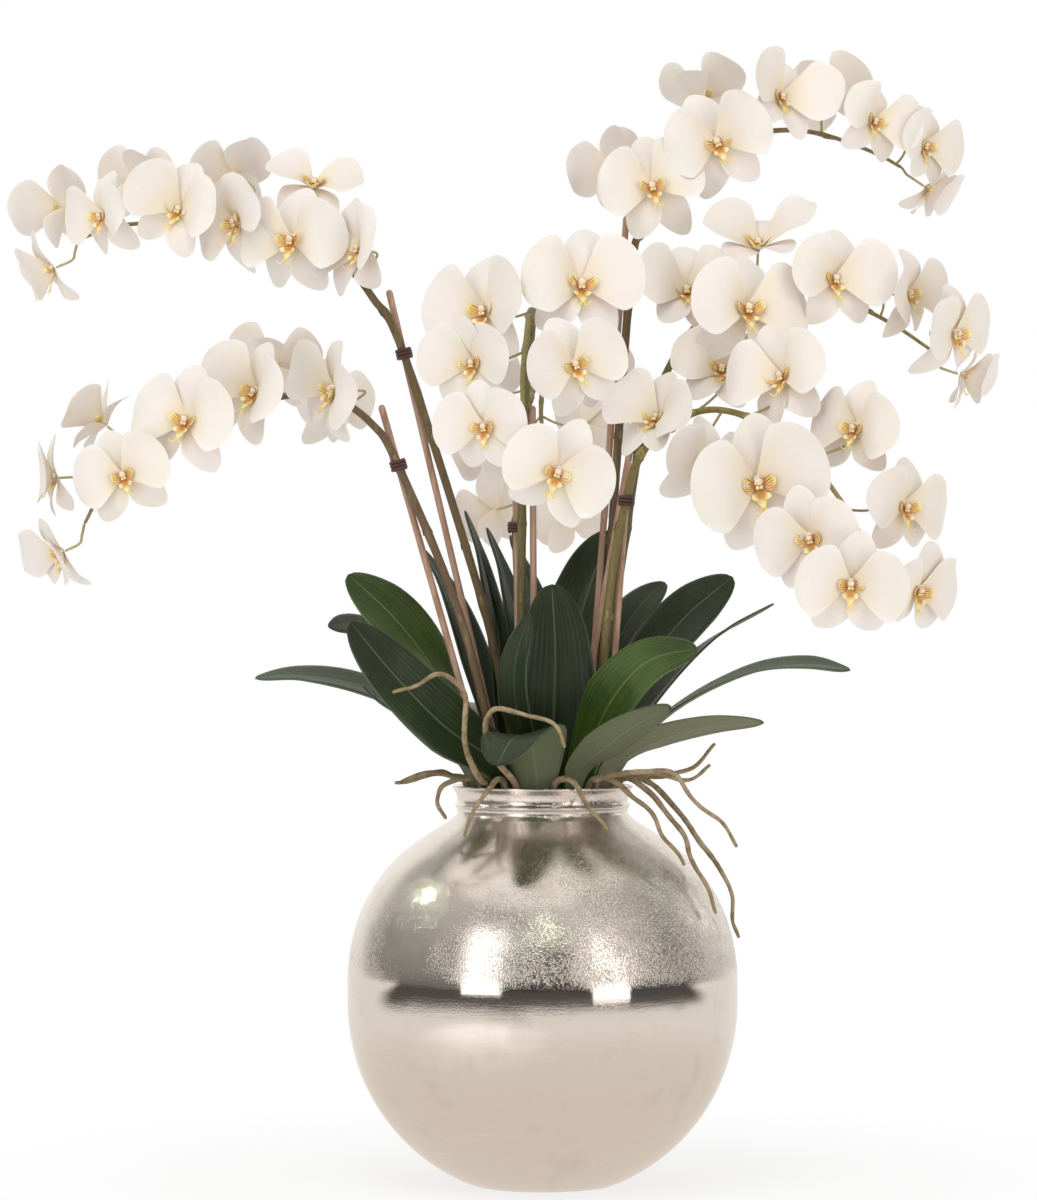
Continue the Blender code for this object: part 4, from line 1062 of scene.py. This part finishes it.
# A leaf: its greatest width, the way its upper face looks at its tip, its tone, and its
# midrib's route.
leaves = {
    "far_left": (0.060, (0, -0.3, 1), "pale", [
        (-0.070, 0.022, 0.374), (-0.078, 0.023, 0.415), (-0.112, 0.022, 0.462),
        (-0.180, 0.018, 0.495), (-0.240, 0.004, 0.506), (-0.286, -0.010, 0.504)]),
    "back_left": (0.055, (0.3, -0.5, 0.8), "dark", [
        (-0.059, 0.044, 0.374), (-0.069, 0.053, 0.425), (-0.118, 0.084, 0.508),
        (-0.184, 0.096, 0.553), (-0.218, 0.090, 0.556)]),
    "left_bright": (0.086, (0.3, -0.8, 0.5), "bright", [
        (-0.060, -0.003, 0.374), (-0.068, -0.003, 0.420), (-0.102, 0.000, 0.500),
        (-0.145, 0.010, 0.560), (-0.195, 0.018, 0.607)]),
    "left_front": (0.078, (0.3, -0.8, 0.5), "dark", [
        (-0.036, -0.051, 0.374), (-0.043, -0.058, 0.418), (-0.096, -0.092, 0.458),
        (-0.146, -0.110, 0.510), (-0.188, -0.104, 0.560)]),
    "left_low": (0.050, (0.4, -0.2, 0.9), "dark", [
        (-0.068, -0.026, 0.374), (-0.075, -0.029, 0.412), (-0.106, -0.044, 0.436),
        (-0.142, -0.050, 0.468), (-0.178, -0.048, 0.498)]),
    "front_folded": (0.046, (-0.6, -0.7, 0.3), "dark", [
        (-0.012, -0.048, 0.374), (-0.013, -0.057, 0.430), (-0.026, -0.082, 0.475),
        (-0.027, -0.090, 0.520), (-0.014, -0.082, 0.568)]),
    "front_low": (0.080, (0, -0.1, 1), "dark", [
        (-0.006, -0.070, 0.374), (-0.007, -0.080, 0.414), (-0.014, -0.122, 0.448),
        (-0.030, -0.170, 0.448), (-0.044, -0.206, 0.425)]),
    "front_centre": (0.088, (0, -1, 0.3), "dark", [
        (0.008, -0.037, 0.374), (0.009, -0.041, 0.420), (0.011, -0.052, 0.480),
        (0.012, -0.058, 0.540), (0.009, -0.050, 0.597)]),
    "back_tall": (0.082, (0.1, -0.9, 0.5), "dark", [
        (0.014, 0.042, 0.374), (0.016, 0.048, 0.430), (0.030, 0.064, 0.530),
        (0.050, 0.080, 0.600), (0.070, 0.088, 0.652)]),
    "right_large": (0.088, (-0.3, -0.8, 0.5), "dark", [
        (0.061, 0.011, 0.374), (0.068, 0.012, 0.420), (0.097, 0.026, 0.500),
        (0.140, 0.040, 0.560), (0.192, 0.046, 0.605)]),
    "right_back": (0.068, (-0.3, -0.6, 0.7), "dark", [
        (0.040, 0.050, 0.374), (0.046, 0.061, 0.430), (0.070, 0.088, 0.520),
        (0.096, 0.106, 0.570), (0.126, 0.118, 0.600)]),
    "right_narrow": (0.044, (-0.4, 0.1, 0.9), "dark", [
        (0.060, 0.041, 0.374), (0.069, 0.047, 0.415), (0.114, 0.070, 0.480),
        (0.172, 0.082, 0.540), (0.236, 0.088, 0.578)]),
    "right_long": (0.058, (0, -0.3, 1), "pale", [
        (0.071, -0.009, 0.374), (0.079, -0.011, 0.415), (0.128, -0.026, 0.470),
        (0.200, -0.034, 0.508), (0.260, -0.036, 0.518), (0.304, -0.040, 0.513)]),
    "right_front": (0.066, (-0.3, -0.8, 0.5), "bright", [
        (0.034, -0.043, 0.374), (0.041, -0.054, 0.420), (0.066, -0.092, 0.482),
        (0.102, -0.108, 0.522), (0.150, -0.106, 0.535)]),
    "right_under": (0.046, (0.2, 0.6, 0.7), "dark", [
        (0.029, -0.066, 0.374), (0.034, -0.078, 0.414), (0.058, -0.122, 0.438),
        (0.086, -0.148, 0.460), (0.122, -0.158, 0.480)]),
    "right_olive": (0.054, (0.1, 0.4, 0.9), "olive", [
        (0.059, -0.041, 0.374), (0.066, -0.047, 0.412), (0.104, -0.068, 0.440),
        (0.160, -0.078, 0.458), (0.216, -0.080, 0.462)]),
    "upright_left": (0.044, (0.9, -0.2, 0.4), "dark", [
        (-0.031, 0.050, 0.374), (-0.036, 0.056, 0.450), (-0.044, 0.060, 0.540),
        (-0.058, 0.060, 0.610), (-0.078, 0.056, 0.672)]),
    "upright_centre": (0.040, (0.9, -0.3, 0.4), "dark", [
        (-0.016, 0.052, 0.374), (-0.017, 0.058, 0.450), (-0.022, 0.066, 0.540),
        (-0.036, 0.070, 0.600), (-0.056, 0.070, 0.655)]),
    "upright_right": (0.044, (0.9, -0.4, 0.4), "dark", [
        (0.001, 0.060, 0.374), (0.001, 0.070, 0.450), (-0.004, 0.094, 0.540),
        (-0.014, 0.105, 0.600), (-0.032, 0.108, 0.648)]),
    "back_thin": (0.046, (0.6, -0.3, 0.6), "dark", [
        (-0.042, 0.061, 0.374), (-0.047, 0.072, 0.440), (-0.068, 0.100, 0.520),
        (-0.096, 0.118, 0.590), (-0.124, 0.124, 0.636)]),
    "back_low_right": (0.072, (0, 0.2, 1), "dark", [
        (0.018, 0.072, 0.374), (0.022, 0.082, 0.416), (0.042, 0.135, 0.455),
        (0.060, 0.190, 0.462), (0.070, 0.236, 0.440)]),
    "back_low_left": (0.070, (0, 0.2, 1), "dark", [
        (-0.018, 0.072, 0.374), (-0.021, 0.083, 0.416), (-0.044, 0.140, 0.460),
        (-0.070, 0.200, 0.474), (-0.088, 0.250, 0.462)]),
}

leafTones = {  # shade, light and vein of the upper face, then the underside
    "dark": ((0.006, 0.014, 0.0025), (0.023, 0.041, 0.009), (0.11, 0.145, 0.075), (0.100, 0.112, 0.058)),
    "bright": ((0.017, 0.042, 0.004), (0.062, 0.112, 0.012), (0.16, 0.21, 0.07), (0.14, 0.17, 0.06)),
    "olive": ((0.045, 0.060, 0.022), (0.090, 0.105, 0.045), (0.15, 0.17, 0.09), (0.15, 0.155, 0.09)),
    "pale": ((0.018, 0.038, 0.012), (0.055, 0.088, 0.036), (0.16, 0.20, 0.13), (0.12, 0.135, 0.08)),
}


def leafMaterial(tone, under):
    shade, light, vein, below = leafTones[tone]
    coat = {"Coat Weight": 0.0 if under else 0.15, "Coat Roughness": 0.22}
    paint = Paint(f"leaf_{tone}_{'under' if under else 'top'}", {"Specular IOR Level": 0.4, **coat})
    reach, across = paint.attribute("reach"), paint.attribute("across")
    where = paint.along(reach * 1.2, across * 15)
    streaks = paint.noise(1.2, 3, 0.6, where)
    fine = paint.maths("SINE", across * 44 + 2 * streaks)
    clouds = paint.noise(13, 4, 0.55)
    midrib = 1 - paint.step(abs(across), 0.012, 0.055)
    edge = paint.step(abs(across), 0.93, 0.985)
    if under:
        colour = paint.mix(below, tuple(1.35 * part for part in below), streaks)
        colour = paint.mix(colour, tuple(1.7 * part for part in below), 0.6 * midrib)
        roughness = 0.50 + 0.15 * clouds
    else:
        colour = paint.mix(shade, light, paint.step(0.55 * clouds + 0.45 * streaks, 0.35, 0.66))
        colour = paint.mix(colour, light, 0.5 * (1 - paint.step(reach, 0.05, 0.35)))
        # the pale midrib line is partly the midrib's own paler tone and partly a painted highlight along
        # it
        lines = 0.06 * paint.step(fine, 0.45, 1.0) + 0.55 * midrib + 0.45 * edge
        colour = paint.mix(colour, vein, lines)
        roughness = 0.33 + 0.12 * clouds + 0.05 * streaks
    relief = 0.25 * fine + streaks + 0.9 * clouds
    return paint.finish(colour, roughness, relief, 0.0007, 0.6)


def leafFacing(tipFace, route, t):
    # as at the tip from the base up, or else first towards the pot's axis
    inward = Vector((-route[0][0], -route[0][1], 0)).normalized() + 0.5 * up
    if inward.dot(Vector(tipFace)) < 0:
        return Vector(tipFace)
    return inward.lerp(Vector(tipFace), min(1, max(0, (t - 0.25) / 0.6)))


def makeLeaf(name, leaf, materials):
    width, tipFace, tone, route = leaf
    path = smoothPath(route, 12)
    ways = headings(path)
    phase = random.Random(name).uniform(0, math.tau)

    def shape(x, y):
        t = 1 - (1 - (y + 1) / 2) ** 1.35
        way = between(ways, t).normalized()
        side = way.cross(leafFacing(tipFace, route, t)).normalized()
        face = side.cross(way)
        opened = min(1, leafLook["stalkShare"] + leafLook["opening"] * t)
        half = 0.5 * width * opened * math.sqrt(max(0, 1 - t ** 3.2))
        across = math.copysign(abs(x) ** 0.9, x)
        slope = 0.45 * abs(across) + 0.55 * across * across
        trough = leafLook["fold"] * (1 - 0.6 * t) * half * slope
        groove = leafLook["groove"] * math.exp(-(across / leafLook["grooveWidth"]) ** 2) * (1 - t ** 4)
        swing = math.sin(9 * t + phase + (1.3 if x > 0 else 0))
        wave = leafLook["wave"] * across ** 2 * swing * (1 - t ** 6)
        rim = leafLook["rimDrop"] * max(0, abs(across) - 0.75) ** 2 * 16
        spot = between(path, t) + side * (across * half) + face * (trough - groove + wave - rim)
        return spot, t, across

    bm = newBuild()
    addSheet(bm, leafLook["cells"], shape, merge=1e-5)
    sides = [materials[tone, False], materials[tone, True]]
    finishPiece(bm, "blade_" + name, sides, ["leaf_" + name], leafLook["thickness"])


leafMaterials = {
    (tone, under): leafMaterial(tone, under) for tone in leafTones for under in (False, True)
}
for name, leaf in leaves.items():
    makeLeaf(name, leaf, leafMaterials)
print("leaves ready")


rootLook = {"radius": 0.0034, "tip": 0.50, "knots": 0.20, "kink": 0.009, "steps": 10, "around": 10}

# A root's route, from where it leaves the medium to its tip.
roots = {
    "left_arched": [
        (-0.071, -0.014, 0.376), (-0.077, -0.015, 0.401), (-0.092, -0.020, 0.406),
        (-0.118, -0.032, 0.412), (-0.140, -0.042, 0.400)],
    "left_short": [
        (-0.072, 0.007, 0.376), (-0.077, 0.007, 0.401), (-0.092, 0.004, 0.406),
        (-0.118, 0.000, 0.408), (-0.146, -0.010, 0.396)],
    "left_curled": [
        (-0.058, -0.043, 0.376), (-0.062, -0.046, 0.401), (-0.074, -0.056, 0.406),
        (-0.092, -0.072, 0.402), (-0.102, -0.084, 0.386), (-0.096, -0.086, 0.366)],
    "left_hanging": [
        (-0.036, -0.064, 0.376), (-0.038, -0.068, 0.401), (-0.046, -0.080, 0.406),
        (-0.054, -0.098, 0.394), (-0.078, -0.112, 0.350)],
    "front_over_rim": [
        (0.010, -0.072, 0.376), (0.012, -0.076, 0.401), (0.022, -0.090, 0.406),
        (0.036, -0.100, 0.396), (0.046, -0.102, 0.378), (0.062, -0.104, 0.360)],
    "front_left_aerial": [
        (-0.050, -0.053, 0.376), (-0.053, -0.057, 0.401), (-0.062, -0.086, 0.407),
        (-0.074, -0.130, 0.438), (-0.080, -0.150, 0.488), (-0.094, -0.156, 0.508),
        (-0.120, -0.156, 0.496), (-0.146, -0.154, 0.492)],
    "right_arched": [
        (0.043, -0.059, 0.376), (0.046, -0.063, 0.401), (0.055, -0.075, 0.407),
        (0.086, -0.100, 0.414), (0.124, -0.114, 0.408), (0.156, -0.122, 0.380), (0.188, -0.126, 0.345)],
    "right_wavy": [
        (0.070, -0.020, 0.376), (0.075, -0.021, 0.401), (0.090, -0.026, 0.406),
        (0.112, -0.040, 0.412), (0.140, -0.044, 0.406), (0.160, -0.046, 0.418)],
    "right_upturned": [
        (0.072, 0.011, 0.376), (0.077, 0.012, 0.401), (0.092, 0.015, 0.406),
        (0.118, 0.018, 0.404), (0.148, 0.020, 0.418), (0.176, 0.018, 0.436)],
    "right_hanging": [
        (0.050, -0.053, 0.376), (0.053, -0.057, 0.401), (0.063, -0.067, 0.406),
        (0.090, -0.086, 0.388), (0.114, -0.104, 0.356), (0.132, -0.118, 0.326)],
    "right_long_outer": [
        (0.073, 0.002, 0.376), (0.078, 0.002, 0.401), (0.092, -0.001, 0.406), (0.120, -0.014, 0.390),
        (0.152, -0.038, 0.350), (0.174, -0.052, 0.314), (0.186, -0.056, 0.280), (0.190, -0.060, 0.245)],
    "right_long_inner": [
        (0.068, -0.029, 0.376), (0.072, -0.031, 0.401), (0.085, -0.040, 0.406), (0.112, -0.057, 0.384),
        (0.144, -0.074, 0.342), (0.164, -0.084, 0.306), (0.174, -0.088, 0.274)],
    "front_aerial": [
        (-0.025, -0.069, 0.376), (-0.027, -0.074, 0.401), (-0.044, -0.100, 0.424), (-0.056, -0.132, 0.458),
        (-0.046, -0.158, 0.476), (-0.022, -0.166, 0.472), (0.006, -0.172, 0.460), (0.022, -0.180, 0.442)],
}


def rootMaterial():
    paint = Paint("rootTan", {"Specular IOR Level": 0.3})
    reach = paint.attribute("reach")
    blotch = paint.noise(90, 4, 0.6)
    fine = paint.noise(600, 3, 0.6)
    colour = paint.mix((0.22, 0.155, 0.085), (0.42, 0.325, 0.20), paint.step(blotch, 0.32, 0.66))
    colour = paint.mix(colour, (0.22, 0.18, 0.06), 0.5 * paint.step(reach, 0.7, 1.0))
    colour = paint.mix(colour, (0.10, 0.065, 0.03), 0.45 * paint.step(fine, 0.52, 0.70))
    return paint.finish(colour, 0.60 + 0.3 * fine, blotch + 0.6 * fine, 0.0008, 0.7)


def makeRoot(name, route, material):
    path = smoothPath(route, rootLook["steps"])
    last = len(path) - 1
    for index, point in enumerate(path):
        free = ease((index / last - 0.3) / 0.4)
        path[index] = point + rootLook["kink"] * free * noise.noise_vector(point * 26)
    radii = []
    for index, point in enumerate(path):
        taper = max(0, index / last - 0.2) / 0.8
        knots = 1 + rootLook["knots"] * noise.noise(point * 130)
        radii.append(rootLook["radius"] * (1 + (rootLook["tip"] - 1) * taper) * knots)
    bm = newBuild()
    addTube(bm, path, radii, rootLook["around"])
    finishPiece(bm, "aerial_" + name, [material], ["root_" + name])


rootTan = rootMaterial()
for name, route in roots.items():
    makeRoot(name, route, rootTan)
print("roots ready")
